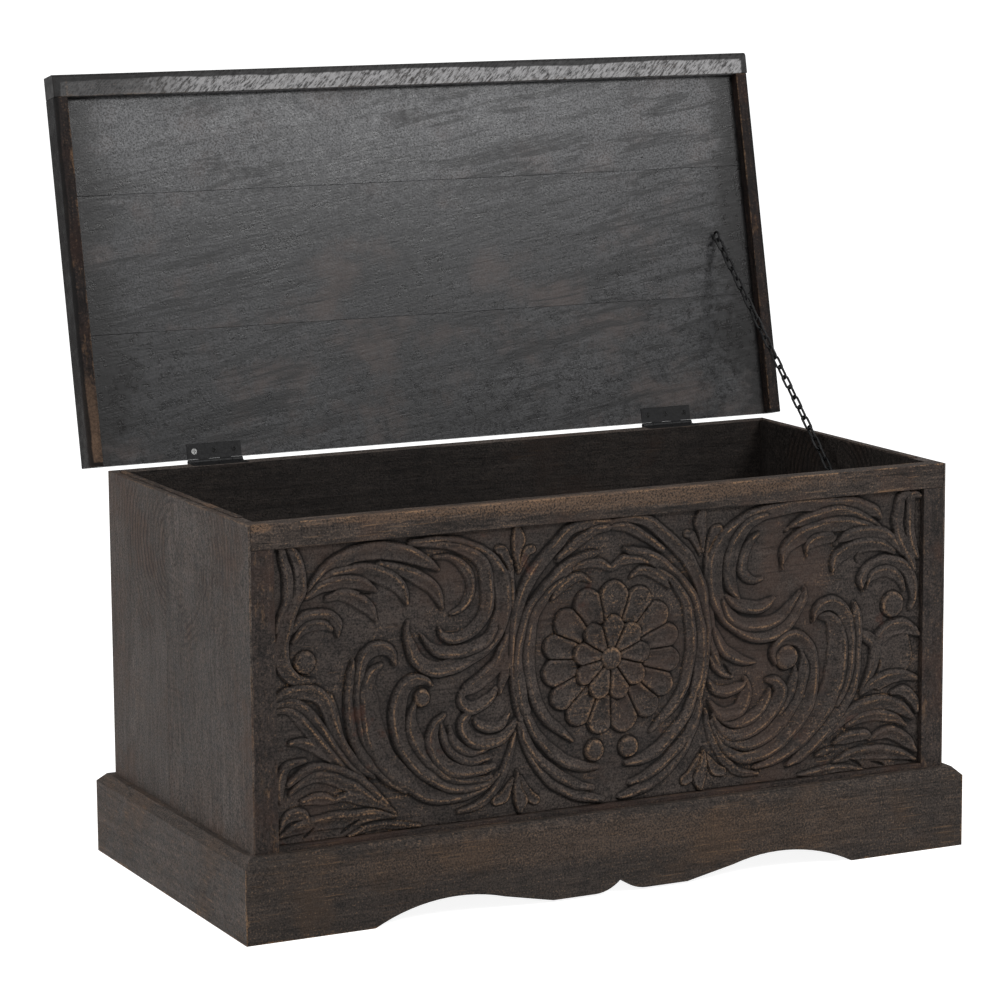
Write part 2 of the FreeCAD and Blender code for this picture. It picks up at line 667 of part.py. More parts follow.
def lip(label, x, y, start, end):
    """A lip whose outer lower edge, between two places, is well rounded and the rest eased."""
    body = new_body(label)
    sketch = sketch_on(body, "XY_Plane", LIP_BOTTOM)
    draw_outline(sketch, rectangle(x, y))
    pad(body, sketch, "%s - %s" % (LID_TOP, LIP_BOTTOM))
    corners = [FreeCAD.Vector(reading(place[0]), reading(place[1]), reading(LIP_BOTTOM)) for place in (start, end)]
    outer_edge = edge_between(body.Shape, *corners)
    solid = body.Tip
    rounding = body.newObject("PartDesign::Fillet", label + "_rounding")
    rounding.Base = (solid, [outer_edge])
    bind(rounding, "Radius", "lip_rounding")
    doc.recompute()
    round_all(body, "lip_arris")
    hang_on_lid(body)


# Hinges

def hinge_leaf(label, sign, knuckles):
    """A leaf with its share of the barrel, drawn on the pin; sign -1 lies below it, +1 above."""
    half = "(leaf_length / 2)"
    lower = "leaf_gap" if sign > 0 else "(-leaf_gap - leaf_thickness)"
    face = "leaf_gap" if sign > 0 else "(-leaf_gap)"
    knuckle = "(leaf_length / %d)" % KNUCKLE_COUNT
    body = new_body(label)
    plate = sketch_on(body, "XY_Plane", lower)
    draw_outline(plate, rectangle(("-" + half, half), ("-leaf_width", "0")))
    pad(body, plate, "leaf_thickness")
    barrel = sketch_on(body, "YZ_Plane", "-" + half)
    draw_circle(barrel, "0", "0", "barrel_radius")
    pad(body, barrel, "leaf_length")
    gaps = sketch_on(body, "XY_Plane", "barrel_radius + cut_overrun")
    reach = "(barrel_radius + barrel_clearance)"
    for number in range(KNUCKLE_COUNT):
        if number in knuckles:
            continue
        before = "cut_overrun" if number == 0 else "knuckle_gap / 2"
        after = "cut_overrun" if number == KNUCKLE_COUNT - 1 else "knuckle_gap / 2"
        x = ("(%d * %s - %s - %s)" % (number, knuckle, half, before),
             "(%d * %s - %s + %s)" % (number + 1, knuckle, half, after))
        draw_outline(gaps, rectangle(x, ("-" + reach, reach)))
    pocket(body, gaps, "2 * (barrel_radius + cut_overrun)")
    bore = sketch_on(body, "YZ_Plane", "-%s - cut_overrun" % half)
    draw_circle(bore, "0", "0", BORE_RADIUS)
    pocket(body, bore, "leaf_length + 2 * cut_overrun", upward=True)
    countersink(body, face, sign > 0)
    return body


def countersink(body, face, upward):
    """Holes with conical mouths for the screws that hold the leaf."""
    sketch = sketch_on(body, "XY_Plane", face)
    for step in screw_steps():
        draw_circle(sketch, "%s * screw_spacing" % step, "(-screw_reach)", SCREW_HOLE_RADIUS)
    doc.recompute()
    before = body.Shape.Volume
    hole = body.newObject("PartDesign::Hole", body.Label + "_screw_holes")
    hole.Profile = sketch
    doc.recompute()
    hole.DepthType = "Dimension"
    hole.Reversed = upward
    hole.HoleCutType = "Countersink"
    hole.HoleCutCustomValues = True
    bind(hole, "Diameter", "2 * %s" % SCREW_HOLE_RADIUS)
    bind(hole, "Depth", "leaf_thickness + cut_overrun")
    bind(hole, "HoleCutDiameter", "2 * (screw_head_radius + screw_hole_slack)")
    bind(hole, "HoleCutCountersinkAngle", "countersink_angle")
    doc.recompute()
    if body.Shape.Volume >= before:
        raise ValueError(body.Label + ": the screw holes cut nothing")


def hinges():
    wall_knuckles = range(0, KNUCKLE_COUNT, 2)
    lid_knuckles = range(1, KNUCKLE_COUNT, 2)
    for side, middle in hinge_places():
        wall_leaf = hinge_leaf(side + "_hinge_wall_leaf", -1, wall_knuckles)
        bind(wall_leaf, "Placement.Base.x", middle)
        bind(wall_leaf, "Placement.Base.y", PIN_Y)
        bind(wall_leaf, "Placement.Base.z", PIN_Z)
        lid_leaf = hinge_leaf(side + "_hinge_lid_leaf", 1, lid_knuckles)
        hang_on_lid(lid_leaf)
        bind(lid_leaf, "Placement.Base.x", middle)
        hinge_pin(side, middle)


def hinge_pin(side, middle):
    pin = doc.addObject("Part::Cylinder", side + "_hinge_pin")
    pin.Label = side + "_hinge_pin"
    PIECES.append(pin)
    along_x = FreeCAD.Rotation(FreeCAD.Vector(0, 1, 0), 90)
    pin.Placement = FreeCAD.Placement(FreeCAD.Vector(), along_x)
    bind(pin, "Radius", "pin_radius")
    bind(pin, "Height", "leaf_length + 2 * pin_proud")
    bind(pin, "Placement.Base.x", "%s - leaf_length / 2 - pin_proud" % middle)
    bind(pin, "Placement.Base.y", PIN_Y)
    bind(pin, "Placement.Base.z", PIN_Z)


def countersunk_screw():
    """A screw with its head's face at the origin, pointing down, with a cross recess."""
    head_radius = size("screw_head_radius")
    shank = size("screw_shank_radius")
    length = size("screw_length")
    head_height = (head_radius - shank) / math.tan(math.radians(size("countersink_angle") / 2))
    profile = Part.makePolygon([
        FreeCAD.Vector(0, 0, 0), FreeCAD.Vector(head_radius, 0, 0),
        FreeCAD.Vector(shank, 0, -head_height), FreeCAD.Vector(shank, 0, shank - length),
        FreeCAD.Vector(0, 0, -length), FreeCAD.Vector(0, 0, 0)])
    solid = Part.Face(profile).revolve(FreeCAD.Vector(), FreeCAD.Vector(0, 0, 1), 360)
    slot_size = (size("screw_slot_length"), size("screw_slot_width"), size("screw_slot_depth"))
    corner = FreeCAD.Vector(-slot_size[0] / 2, -slot_size[1] / 2, -slot_size[2])
    for turn in (0, 90):
        slot = Part.makeBox(*slot_size, corner)
        slot.rotate(FreeCAD.Vector(), FreeCAD.Vector(0, 0, 1), turn)
        solid = solid.cut(slot)
    return solid


def leaf_screws(sign):
    """Six screws, three to each hinge, drawn round the pin line of one kind of leaf."""
    screws = []
    for _, middle in hinge_places():
        for step in screw_steps():
            screw = countersunk_screw()
            if sign > 0:
                screw.rotate(FreeCAD.Vector(), FreeCAD.Vector(0, 1, 0), 180)
            x = reading("%s + %s * screw_spacing" % (middle, step))
            screw.translate(FreeCAD.Vector(x, -size("screw_reach"), sign * size("leaf_gap")))
            screws.append(screw)
    return Part.makeCompound(screws)


def pin_place(turned=False):
    angle = size("open_angle") if turned else 0
    backward = FreeCAD.Rotation(FreeCAD.Vector(-1, 0, 0), angle)
    return FreeCAD.Placement(FreeCAD.Vector(0, reading(PIN_Y), reading(PIN_Z)), backward)


# Stay chain

def chain_ends():
    """Middles of the two eye rings: on the open lid, and on the wall where the taut chain ends."""
    lid_ring = [reading(place) for place in (LID_RING_X, LID_RING_Y, LID_RING_Z)]
    wall_ring = [reading(place) for place in (WALL_RING_X, WALL_RING_Y, WALL_RING_Z)]
    return FreeCAD.Vector(*lid_ring), FreeCAD.Vector(*wall_ring)


def chain_axes():
    """Unit vectors along the taut chain from the lid, across the trunk, and square to both."""
    lid_ring, wall_ring = chain_ends()
    along = (wall_ring - lid_ring).normalize()
    square = FreeCAD.Vector(1, 0, 0).cross(along).normalize()
    across = square.cross(along)
    return along, across, square


def chain_link():
    """One oval link round the origin, long along X, flat in XY."""
    wire = size("link_wire") / 2
    bend = (size("link_inner_width") + size("link_wire")) / 2
    straight = (size("link_inner_length") + size("link_wire")) / 2 - bend
    up = FreeCAD.Vector(0, 0, 1)
    along = FreeCAD.Vector(1, 0, 0)
    strands = []
    for sign in (-1, 1):
        strands.append(Part.makeCylinder(wire, 2 * straight, FreeCAD.Vector(-straight, sign * bend, 0), along))
        end = Part.makeTorus(bend, wire, FreeCAD.Vector(), up, -180, 180, 180)
        end.rotate(FreeCAD.Vector(), up, -sign * 90)
        end.translate(FreeCAD.Vector(sign * straight, 0, 0))
        strands.append(end)
    return strands[0].multiFuse(strands[1:]).removeSplitter()


def links(first, count):
    """A run of separate links, each turned a quarter from the one before."""
    along, across, square = chain_axes()
    start = chain_ends()[0] + along * reading("%s + %s / 2" % (RING_TO_LINK, LINK_OUTER_LENGTH))
    flat = FreeCAD.Rotation(along, across, FreeCAD.Vector(), "XYZ")
    upright = FreeCAD.Rotation(along, square, FreeCAD.Vector(), "XYZ")
    solids = []
    for number in range(first, first + count):
        link = chain_link()
        turn = upright if number % 2 else flat
        link.Placement = FreeCAD.Placement(start + along * (number * reading(LINK_PITCH)), turn)
        solids.append(link)
    return Part.makeCompound(solids)


def screw_eye(ring_axis, into_wood, standoff):
    """A ring round the origin and a pointed shank from it into the wood, a standoff away."""
    ring = size("eye_ring_radius")
    wire = size("eye_wire") / 2
    shank_end = standoff + size("eye_shank_length")
    solid = Part.makeTorus(ring, wire, FreeCAD.Vector(), ring_axis)
    shank = Part.makeCylinder(wire, shank_end - ring - wire, into_wood * ring, into_wood)
    tip = Part.makeCone(wire, 0, wire, into_wood * (shank_end - wire), into_wood)
    return solid.multiFuse([shank, tip]).removeSplitter()


def stay_chain():
    # The lid's eye is placed as with the lid shut, its ring in line with the chain, then turned open
    lid_eye = screw_eye(FreeCAD.Vector(1, 0, 0), FreeCAD.Vector(0, 0, 1), size("lid_eye_standoff"))
    in_shut_lid = FreeCAD.Vector(reading(LID_RING_X), -size("lid_eye_reach"), reading(LID_RING_DROP))
    opened = pin_place(turned=True).multiply(FreeCAD.Placement(in_shut_lid, FreeCAD.Rotation()))
    shaped_piece("lid_chain_eye", lid_eye, opened)
    # The wall's eye lies in the plane of the last strand of chain and the wall's square
    _, _, square = chain_axes()
    wall_eye = screw_eye(square, FreeCAD.Vector(1, 0, 0), size("wall_eye_standoff"))
    shaped_piece("wall_chain_eye", wall_eye, FreeCAD.Placement(chain_ends()[1], FreeCAD.Rotation()))
    shaped_piece("chain_lid_links", links(0, LID_LINK_COUNT))
    shaped_piece("chain_wall_links", links(LID_LINK_COUNT, WALL_LINK_COUNT))


def check_and_export():
    doc.recompute()
    for thing in doc.Objects:
        if "Invalid" in thing.State or "Error" in thing.State:
            raise ValueError(thing.Label + " did not build")
    for piece in PIECES:
        if piece.Shape.isNull() or not piece.Shape.isValid():
            raise ValueError(piece.Label + " has no sound shape")
    os.makedirs("parts", exist_ok=True)
    for piece in PIECES:
        piece.Shape.exportStep("parts/%s.step" % piece.Label)


front_top_rail()
front_stile("front_left_stile", "-1")
front_stile("front_right_stile", "1")
front_bottom_rail()
carved_panel()
side_boards("left", "-1")
bore_for_wall_eye(*side_boards("right", "1"))
back_boards()
bottom_boards()
bottom_cleats()
aprons()
lid_boards()
lid_lips()
hinges()
shaped_piece("wall_hinge_screws", leaf_screws(-1), pin_place())
shaped_piece("lid_hinge_screws", leaf_screws(1), pin_place(turned=True))
stay_chain()
check_and_export()
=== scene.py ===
import math

import bpy
import numpy as np
from mathutils import Matrix, Vector


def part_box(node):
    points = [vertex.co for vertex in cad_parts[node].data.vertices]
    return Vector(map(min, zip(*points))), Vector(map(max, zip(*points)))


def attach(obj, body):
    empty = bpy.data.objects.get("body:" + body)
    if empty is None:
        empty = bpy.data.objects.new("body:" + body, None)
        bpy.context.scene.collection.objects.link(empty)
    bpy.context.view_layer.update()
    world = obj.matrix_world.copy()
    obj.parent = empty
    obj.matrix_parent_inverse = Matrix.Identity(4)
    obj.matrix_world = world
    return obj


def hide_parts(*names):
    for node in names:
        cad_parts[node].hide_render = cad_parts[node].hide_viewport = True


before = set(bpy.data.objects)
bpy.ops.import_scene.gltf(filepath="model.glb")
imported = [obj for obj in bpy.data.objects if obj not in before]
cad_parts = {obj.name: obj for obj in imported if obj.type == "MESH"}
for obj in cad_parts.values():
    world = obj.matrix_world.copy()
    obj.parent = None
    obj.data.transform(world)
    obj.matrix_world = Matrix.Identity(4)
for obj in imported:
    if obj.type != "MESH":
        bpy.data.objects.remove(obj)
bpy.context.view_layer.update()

MM = 0.001

# Places in the model's frame, in metres, and how far the lid turns between open and shut
HINGE_PIN = Vector((0.0, -0.0144, 0.468))
LID_OPEN_ANGLE = math.radians(102)
PANEL_FACE_Y = -0.4485
PANEL_BACK_Y = -0.4325

# The photograph's camera: angles in degrees, lengths in metres, focal length in pixels
VIEW_YAW = 26.361
VIEW_PITCH = 9.577
VIEW_ROLL = -0.404
VIEW_TARGET = Vector((-0.1439, -0.45, 0.4707))
VIEW_DISTANCE = 4.2074
FOCAL_PIXELS = 3745.1
IMAGE_PIXELS = 1000
SENSOR_MM = 36


# Node graphs

class Graph:
    """The nodes of a material or of the world."""

    def __init__(self, owner):
        self.owner = owner
        owner.use_nodes = True
        self.nodes = owner.node_tree.nodes
        self.links = owner.node_tree.links
        self.nodes.clear()

    def feed(self, socket, value):
        if isinstance(value, bpy.types.NodeSocket):
            self.links.new(value, socket)
        else:
            socket.default_value = value

    def node(self, kind, inputs, **settings):
        made = self.nodes.new("ShaderNode" + kind)
        for name, value in settings.items():
            setattr(made, name, value)
        for socket, value in inputs.items():
            self.feed(made.inputs[socket], value)
        return made

    def math(self, operation, *values):
        made = self.node("Math", {}, operation=operation)
        for socket, value in zip(made.inputs, values):
            self.feed(socket, value)
        return made.outputs[0]

    def plus(self, first, second):
        return self.math("ADD", first, second)

    def times(self, first, second):
        return self.math("MULTIPLY", first, second)

    def vector(self, operation, *values):
        made = self.node("VectorMath", {}, operation=operation)
        for socket, value in zip(made.inputs, values):
            self.feed(socket, value)
        return made.outputs[0]

    def noise(self, place, scale, detail=4.0, roughness=0.55, distortion=0.0):
        inputs = {"Vector": place, "Scale": scale, "Detail": detail, "Roughness": roughness,
                  "Distortion": distortion}
        return self.node("TexNoise", inputs).outputs["Fac"]

    def wavering(self, noise, amount):
        """A noise about zero, up to half the amount to each side."""
        return self.times(self.plus(noise, -0.5), amount)

    def ramp(self, value, low, high, to_low=0.0, to_high=1.0):
        """The value eased from one range into another, and kept inside it."""
        inputs = {"Value": value, "From Min": low, "From Max": high, "To Min": to_low, "To Max": to_high}
        return self.node("MapRange", inputs, interpolation_type="SMOOTHSTEP").outputs["Result"]

    def blend(self, factor, first, second):
        made = self.node("Mix", {}, data_type="RGBA")
        self.feed(made.inputs[0], factor)
        for socket, colour in ((made.inputs[6], first), (made.inputs[7], second)):
            self.feed(socket, colour if isinstance(colour, bpy.types.NodeSocket) else (*colour, 1.0))
        return made.outputs[2]

    def object_place(self):
        return self.node("TexCoord", {}).outputs["Object"]

    def part(self, place, axis):
        return self.node("SeparateXYZ", {"Vector": place}).outputs[axis]

    def length(self, place):
        return self.node("VectorMath", {0: place}, operation="LENGTH").outputs["Value"]

    def stretched(self, place, scales):
        return self.vector("MULTIPLY", place, scales)

    def turned(self, place, angle, axis):
        inputs = {"Vector": place, "Angle": angle}
        return self.node("VectorRotate", inputs, rotation_type=axis + "_AXIS").outputs["Vector"]

    def finish(self, colour, roughness, height, depth, specular=0.5, metallic=0.0):
        """The material, with a bump map of the height for its relief."""
        bump = self.node("Bump", {"Height": height, "Distance": depth})
        inputs = {"Base Color": colour, "Roughness": roughness, "Specular IOR Level": specular,
                  "Metallic": metallic, "Normal": bump.outputs["Normal"]}
        shader = self.node("BsdfPrincipled", inputs)
        self.node("OutputMaterial", {"Surface": shader.outputs["BSDF"]})
        return self.owner


def new_material(name):
    return Graph(bpy.data.materials.new(name))


def new_object(name, data):
    made = bpy.data.objects.new(name, data)
    bpy.context.scene.collection.objects.link(made)
    return made


def shut_lid_place(graph, place):
    """The place from the hinge pin, turned with the lid to where it is when the lid is shut."""
    return graph.turned(graph.vector("SUBTRACT", place, HINGE_PIN), LID_OPEN_ANGLE, "X")


def joint_box(names, on_lid=False):
    """Middle and half size of the box round some CAD nodes, for lid pieces in the shut lid's frame."""
    points = [vertex.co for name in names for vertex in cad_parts[name].data.vertices]
    if on_lid:
        turn = Matrix.Rotation(LID_OPEN_ANGLE, 3, "X")
        points = [turn @ (point - HINGE_PIN) for point in points]
    low = Vector([min(point[axis] for point in points) for axis in range(3)])
    high = Vector([max(point[axis] for point in points) for axis in range(3)])
    return (low + high) / 2, (high - low) / 2


def edge_distance(graph, place, box):
    """Distance from a point on a box's surface, inside or out, to the box's nearest edge."""
    middle, half = box
    off_middle = graph.vector("ABSOLUTE", graph.vector("SUBTRACT", place, middle))
    off_face = graph.vector("ABSOLUTE", graph.vector("SUBTRACT", half, off_middle))
    a, b, c = (graph.part(off_face, axis) for axis in range(3))
    nearer = graph.math("MINIMUM", a, b)
    farther = graph.math("MINIMUM", graph.math("MAXIMUM", a, b), c)
    return graph.math("MAXIMUM", nearer, farther)


def face_distance(graph, place, box, axis):
    """Distance in from the nearer of a box's two faces across an axis."""
    middle, half = box
    off_middle = graph.math("ABSOLUTE", graph.plus(graph.part(place, axis), -middle[axis]))
    return graph.math("SUBTRACT", half[axis], off_middle)


def inside_box(graph, place, box):
    """1 in a box and 0 outside it."""
    nearest = graph.math("MINIMUM", face_distance(graph, place, box, 0), face_distance(graph, place, box, 1))
    nearest = graph.math("MINIMUM", nearest, face_distance(graph, place, box, 2))
    return graph.ramp(nearest, -MM, 0.0)


# Woods

TAN = (0.36, 0.21, 0.11)
BARE = (0.17, 0.105, 0.066)
# Near black, for pores and dirt, and for painted shade inside the carcass and in the carving's hollows
SOOT_AND_SHADE = (0.0035, 0.003, 0.003)
RED_BROWN = (0.080, 0.030, 0.018)
STROKE_SHEEN = (0.27, 0.265, 0.268)
PAINTED_SHEEN = (0.172, 0.172, 0.179)
DARK_PAINT = (0.008, 0.008, 0.0085)

# How the noises are squeezed along each axis, for the way that the grain runs; angles in radians
GRAIN_SCALES = {"X": (1, 9, 9), "Y": (9, 1, 9), "Z": (9, 9, 1)}
LID_GRAIN_SLANT = 0.16
STROKE_ANGLE = 0.75
SIDE_KNOT = (0, -0.225, 0.405)

# Depth of the surface's relief, and width of the dark outer rim of each kind of lip, in metres
BARE_BUMP = 0.0026
PAINT_BUMP = 0.0007
CARVED_BUMP = 0.0020
RIM_WIDTHS = {"lip with painted sheen": 0.0085, "lip": 0.004}

# For each wood: two tones of its ground, the brown of its patches, its roughness and sheen, how far
# its edges are rubbed, how many tan flecks and long streaks it has, the share of fibres in its
# grain, and how even it is from place to place
STAINED = dict(roughness=0.62, sheen=0.12, wear=0.0, flecks=0.0, even=0.55)
WOODS = {
    "rail": dict(STAINED, dark=(0.0085, 0.0072, 0.0068), light=(0.098, 0.076, 0.064),
                 brown=(0.060, 0.037, 0.028), wear=0.9, flecks=0.85, streaks=0.6, fibres=0.30),
    "stile": dict(STAINED, dark=(0.010, 0.0085, 0.0080), light=(0.064, 0.050, 0.044),
                  brown=(0.050, 0.028, 0.021), wear=0.55, flecks=0.40, streaks=0.35, fibres=0.16),
    # The side's tones are paler than the front's partly as painted light, for the stronger light on the left
    # side
    "side": dict(STAINED, dark=(0.015, 0.0125, 0.0112), light=(0.136, 0.112, 0.099),
                 brown=(0.070, 0.044, 0.034), wear=0.3, flecks=0.35, streaks=0.45, fibres=0.16, even=0.45),
    "plinth": dict(STAINED, dark=(0.011, 0.0095, 0.0088), light=(0.078, 0.062, 0.053),
                   brown=(0.058, 0.038, 0.026), wear=0.8, flecks=0.6, streaks=0.40, fibres=0.18),
    # The side plinth is the plinth's wood painted paler, as painted light on the lit left side
    "side plinth": dict(STAINED, dark=(0.020, 0.017, 0.015), light=(0.118, 0.095, 0.083),
                        brown=(0.072, 0.049, 0.036), wear=0.8, flecks=0.6, streaks=0.45, fibres=0.20),
    "inner": dict(STAINED, dark=(0.003, 0.0025, 0.002), light=(0.020, 0.015, 0.012),
                  brown=(0.016, 0.009, 0.006), roughness=0.75, sheen=0.10, wear=0.2, flecks=0.1,
                  streaks=0.6, fibres=0.30),
    "lid": dict(STAINED, dark=(0.004, 0.004, 0.0043), light=(0.064, 0.064, 0.0668),
                brown=(0.066, 0.048, 0.042), roughness=0.32, sheen=0.26, streaks=0.35, fibres=0.14,
                even=0.42),
    "lip": dict(STAINED, dark=(0.004, 0.0032, 0.0032), light=(0.030, 0.022, 0.020),
                brown=(0.026, 0.013, 0.010), roughness=0.60, wear=0.35, flecks=0.35, streaks=0.6,
                fibres=0.35),
    # The front lip's paler tone is a painted sheen
    "lip with painted sheen": dict(STAINED, dark=(0.010, 0.010, 0.010), light=(0.060, 0.058, 0.058),
                       brown=(0.030, 0.026, 0.024), roughness=0.50, sheen=0.20, wear=0.2, flecks=0.2,
                       streaks=0.5, fibres=0.30),
    "carving": dict(STAINED, dark=(0.0100, 0.0085, 0.0080), light=(0.090, 0.072, 0.063),
                    brown=(0.054, 0.033, 0.025), roughness=0.58, streaks=0.35, fibres=0.18),
}

# Places where the stain is rubbed away: centre, half sizes and strength. They are in the model's
# frame, in metres, or for the lid's pieces from the hinge pin with the lid shut
BARE_PATCHES = {
    "lid_left_lip": [((-0.468, -0.060, -0.012), (0.008, 0.040, 0.02), 0.46),
                     ((-0.466, -0.020, -0.012), (0.010, 0.018, 0.02), 0.28)],
    "front_top_rail": [((-0.434, -0.450, 0.463), (0.011, 0.01, 0.004), 0.9),
                       ((-0.20, -0.450, 0.464), (0.14, 0.01, 0.005), 0.55),
                       ((0.05, -0.450, 0.460), (0.20, 0.01, 0.009), 0.50)],
    "left_rim_lath": [((-0.439, -0.052, 0.4686), (0.006, 0.012, 0.003), 0.6),
                      ((-0.439, -0.315, 0.4686), (0.006, 0.014, 0.003), 0.6)],
    "front_apron": [((0.20, -0.468, 0.050), (0.13, 0.01, 0.030), 0.16),
                    ((-0.10, -0.468, 0.070), (0.22, 0.01, 0.018), 0.22)],
}


class WoodNoise:
    """The noises that all the woods are made of, for one piece."""

    def __init__(self, graph, moved, grain, slant=0.0):
        turned = graph.turned(moved, slant, "Z") if slant else moved
        along = graph.stretched(turned, GRAIN_SCALES[grain])
        self.fibres = graph.noise(along, 30, detail=5, roughness=0.66, distortion=0.4)
        self.figure = graph.noise(along, 2.2, detail=5, roughness=0.6, distortion=2.5)
        self.broad = graph.noise(moved, 3.2, detail=3, roughness=0.5)
        self.blotch = graph.noise(moved, 9, detail=6, roughness=0.65)
        self.mottle = graph.noise(moved, 85, detail=5, roughness=0.7)
        self.fine = graph.noise(moved, 420, detail=3, roughness=0.7)
        self.streaks = graph.noise(along, 7, detail=5, roughness=0.62, distortion=0.9)
        self.hair = graph.noise(graph.stretched(along, (1.0, 3.0, 3.0)), 12, detail=5, roughness=0.75)
        # Thin curling lines, where a warped noise passes its middle
        curls = graph.noise(moved, 130, detail=3, roughness=0.6, distortion=2.2)
        self.wires = graph.ramp(graph.math("ABSOLUTE", graph.plus(curls, -0.5)), 0.05, 0.0)
        self.speckle = graph.ramp(self.fine, 0.38, 0.58)


def ground_colour(graph, look, noise):
    """Stained wood before wear: two tones mixed by fibres, mottles and fine specks, with brown
    patches, long dark and pale streaks, and black pores."""
    dark, light = look["dark"], look["light"]
    speckled = graph.plus(graph.times(noise.mottle, 0.32), graph.times(noise.fine, 0.68))
    tone = graph.plus(graph.times(noise.fibres, look["fibres"]), graph.times(speckled, 1 - look["fibres"]))
    level = graph.times(graph.ramp(noise.figure, 0.25, 0.72, look["even"], 1.0),
                        graph.ramp(noise.broad, 0.3, 0.7, look["even"] + 0.15, 1.0))
    colour = graph.blend(graph.times(graph.ramp(tone, 0.40, 0.60), level), dark, light)
    colour = graph.blend(graph.times(graph.ramp(noise.blotch, 0.50, 0.66), 0.55), colour, look["brown"])
    colour = graph.blend(graph.times(noise.wires, 0.30 * look["even"] / STAINED["even"]), colour, light)
    colour = graph.blend(graph.ramp(noise.streaks, 0.58, 0.68, 0.0, 0.55 * look["streaks"]), colour, light)
    colour = graph.blend(graph.ramp(noise.streaks, 0.42, 0.32, 0.0, 0.90 * look["streaks"]), colour, dark)
    pores = graph.ramp(noise.hair, 0.45, 0.36, 0.0, 0.25 + 0.6 * look["streaks"])
    return graph.blend(pores, colour, SOOT_AND_SHADE)


def surface_relief(graph, noise, painted=False):
    """Fibres, curls, lumps and specks of the surface. Paint fills the curls and most of the lumps."""
    curls, lumps = (0.0, 0.12) if painted else (0.05, 0.40)
    return graph.plus(graph.plus(graph.times(noise.fibres, 0.3), graph.times(noise.wires, curls)),
                      graph.plus(graph.times(noise.mottle, lumps), graph.times(noise.fine, 0.25)))


def ringed_knot(graph, colour, place, knot, look, noise):
    """Dark rings in the grain round a knot."""
    from_knot = graph.vector("SUBTRACT", place, knot)
    settings = {"Vector": from_knot, "Scale": 34, "Distortion": 6, "Detail": 5, "Detail Scale": 0.7}
    rings = graph.node("TexWave", settings, wave_type="RINGS", rings_direction="X").outputs["Fac"]
    near = graph.times(graph.ramp(graph.length(from_knot), 0.52, 0.44), graph.ramp(noise.blotch, 0.42, 0.60))
    share = graph.times(graph.times(graph.ramp(rings, 0.6, 0.1), near), 0.8)
    return graph.blend(share, colour, look["dark"])


def flecked(graph, colour, look, noise):
    """Tan scratches and flecks where the stain is thin."""
    scratches = graph.times(graph.ramp(noise.hair, 0.57, 0.66), graph.ramp(noise.blotch, 0.42, 0.58))
    colour = graph.blend(graph.times(scratches, 0.40 * look["flecks"]), colour, TAN)
    flecks = graph.times(graph.ramp(noise.fine, 0.56, 0.66), graph.ramp(noise.fibres, 0.47, 0.58))
    return graph.blend(graph.times(flecks, 0.45 * look["flecks"]), colour, TAN)


def rubbed_edges(graph, colour, place, moved, boxes, look, noise):
    """Stain rubbed through to tan along the edges of some boxes, in a band of uneven width."""
    reach = graph.ramp(graph.noise(moved, 26, detail=6, roughness=0.72), 0.40, 0.76, 0.0002, 0.0052)
    for box in boxes:
        distance = edge_distance(graph, place, box)
        rubbed = graph.ramp(graph.math("DIVIDE", distance, reach), 0.2, 1.1, 1.0, 0.0)
        share = graph.times(graph.times(rubbed, noise.speckle), 0.65 * look["wear"])
        colour = graph.blend(share, colour, TAN)
    return colour


def rubbed_patches(graph, colour, place, moved, patches, smooth, noise):
    """Bare patches with torn outlines; smooth is how far their speckles run together."""
    torn = graph.wavering(graph.noise(moved, 150, detail=5, roughness=0.85), 3.0 * (1 - smooth))
    broken = graph.plus(graph.times(noise.speckle, 1 - smooth), smooth)
    for centre, half, strength in patches:
        offset = graph.vector("DIVIDE", graph.vector("SUBTRACT", place, centre), half)
        reach = graph.plus(graph.length(offset), torn)
        bare = graph.times(graph.ramp(reach, 0.8, 1.6, strength, 0.0), broken)
        colour = graph.blend(bare, colour, BARE)
    return colour


def sheen_and_dark_bands(graph, colour, place, noise):
    """The lid's boards, with a painted sheen that lightens them toward the front, and dark bands."""
    front = graph.times(graph.part(place, 1), -1)
    uneven = graph.wavering(noise.blotch, 0.25)
    # Painted sheen: the boards lightened toward the front, where the lamp's reflection falls on the open lid
    pale = graph.times(graph.ramp(graph.plus(front, uneven), 0.21, 0.47), graph.ramp(noise.fine, 0.36, 0.62))
    colour = graph.blend(graph.times(pale, 0.62), colour, PAINTED_SHEEN)
    bands = graph.times(graph.ramp(noise.streaks, 0.50, 0.40), graph.ramp(noise.broad, 0.40, 0.56, 0.25, 1.0))
    return graph.blend(graph.times(bands, 0.70), colour, DARK_PAINT)


def soiled(graph, colour, place, box, noise):
    """The lid's boards with dirt along the side lips, and small dark knocks."""
    ragged = graph.wavering(noise.mottle, 0.10)
    uneven = graph.wavering(noise.blotch, 0.16)
    to_side = graph.plus(face_distance(graph, place, box, 0), graph.plus(ragged, uneven))
    knocks = graph.times(graph.ramp(noise.mottle, 0.36, 0.30), graph.ramp(noise.blotch, 0.53, 0.44))
    grime = graph.math("MAXIMUM", graph.ramp(to_side, 0.062, 0.014), graph.times(knocks, 0.40))
    return graph.blend(graph.times(grime, 0.88), colour, SOOT_AND_SHADE)


def painted_stroke_sheen(graph, colour, place, noise):
    """The front lip's underside: slanting brush strokes, painted pale as a sheen, that fade out near its left
    end.
    """
    slanting = graph.stretched(graph.turned(place, STROKE_ANGLE, "Z"), (1, 4, 1))
    strokes = graph.noise(slanting, 120, detail=4, roughness=0.65)
    ragged = graph.wavering(noise.mottle, 0.12)
    reach = graph.ramp(graph.plus(graph.part(place, 0), ragged), -0.40, -0.26, 0.12, 1.0)
    # Painted sheen: the brush strokes lightened toward a pale grey
    return graph.blend(graph.times(graph.ramp(strokes, 0.34, 0.60), reach), colour, STROKE_SHEEN)


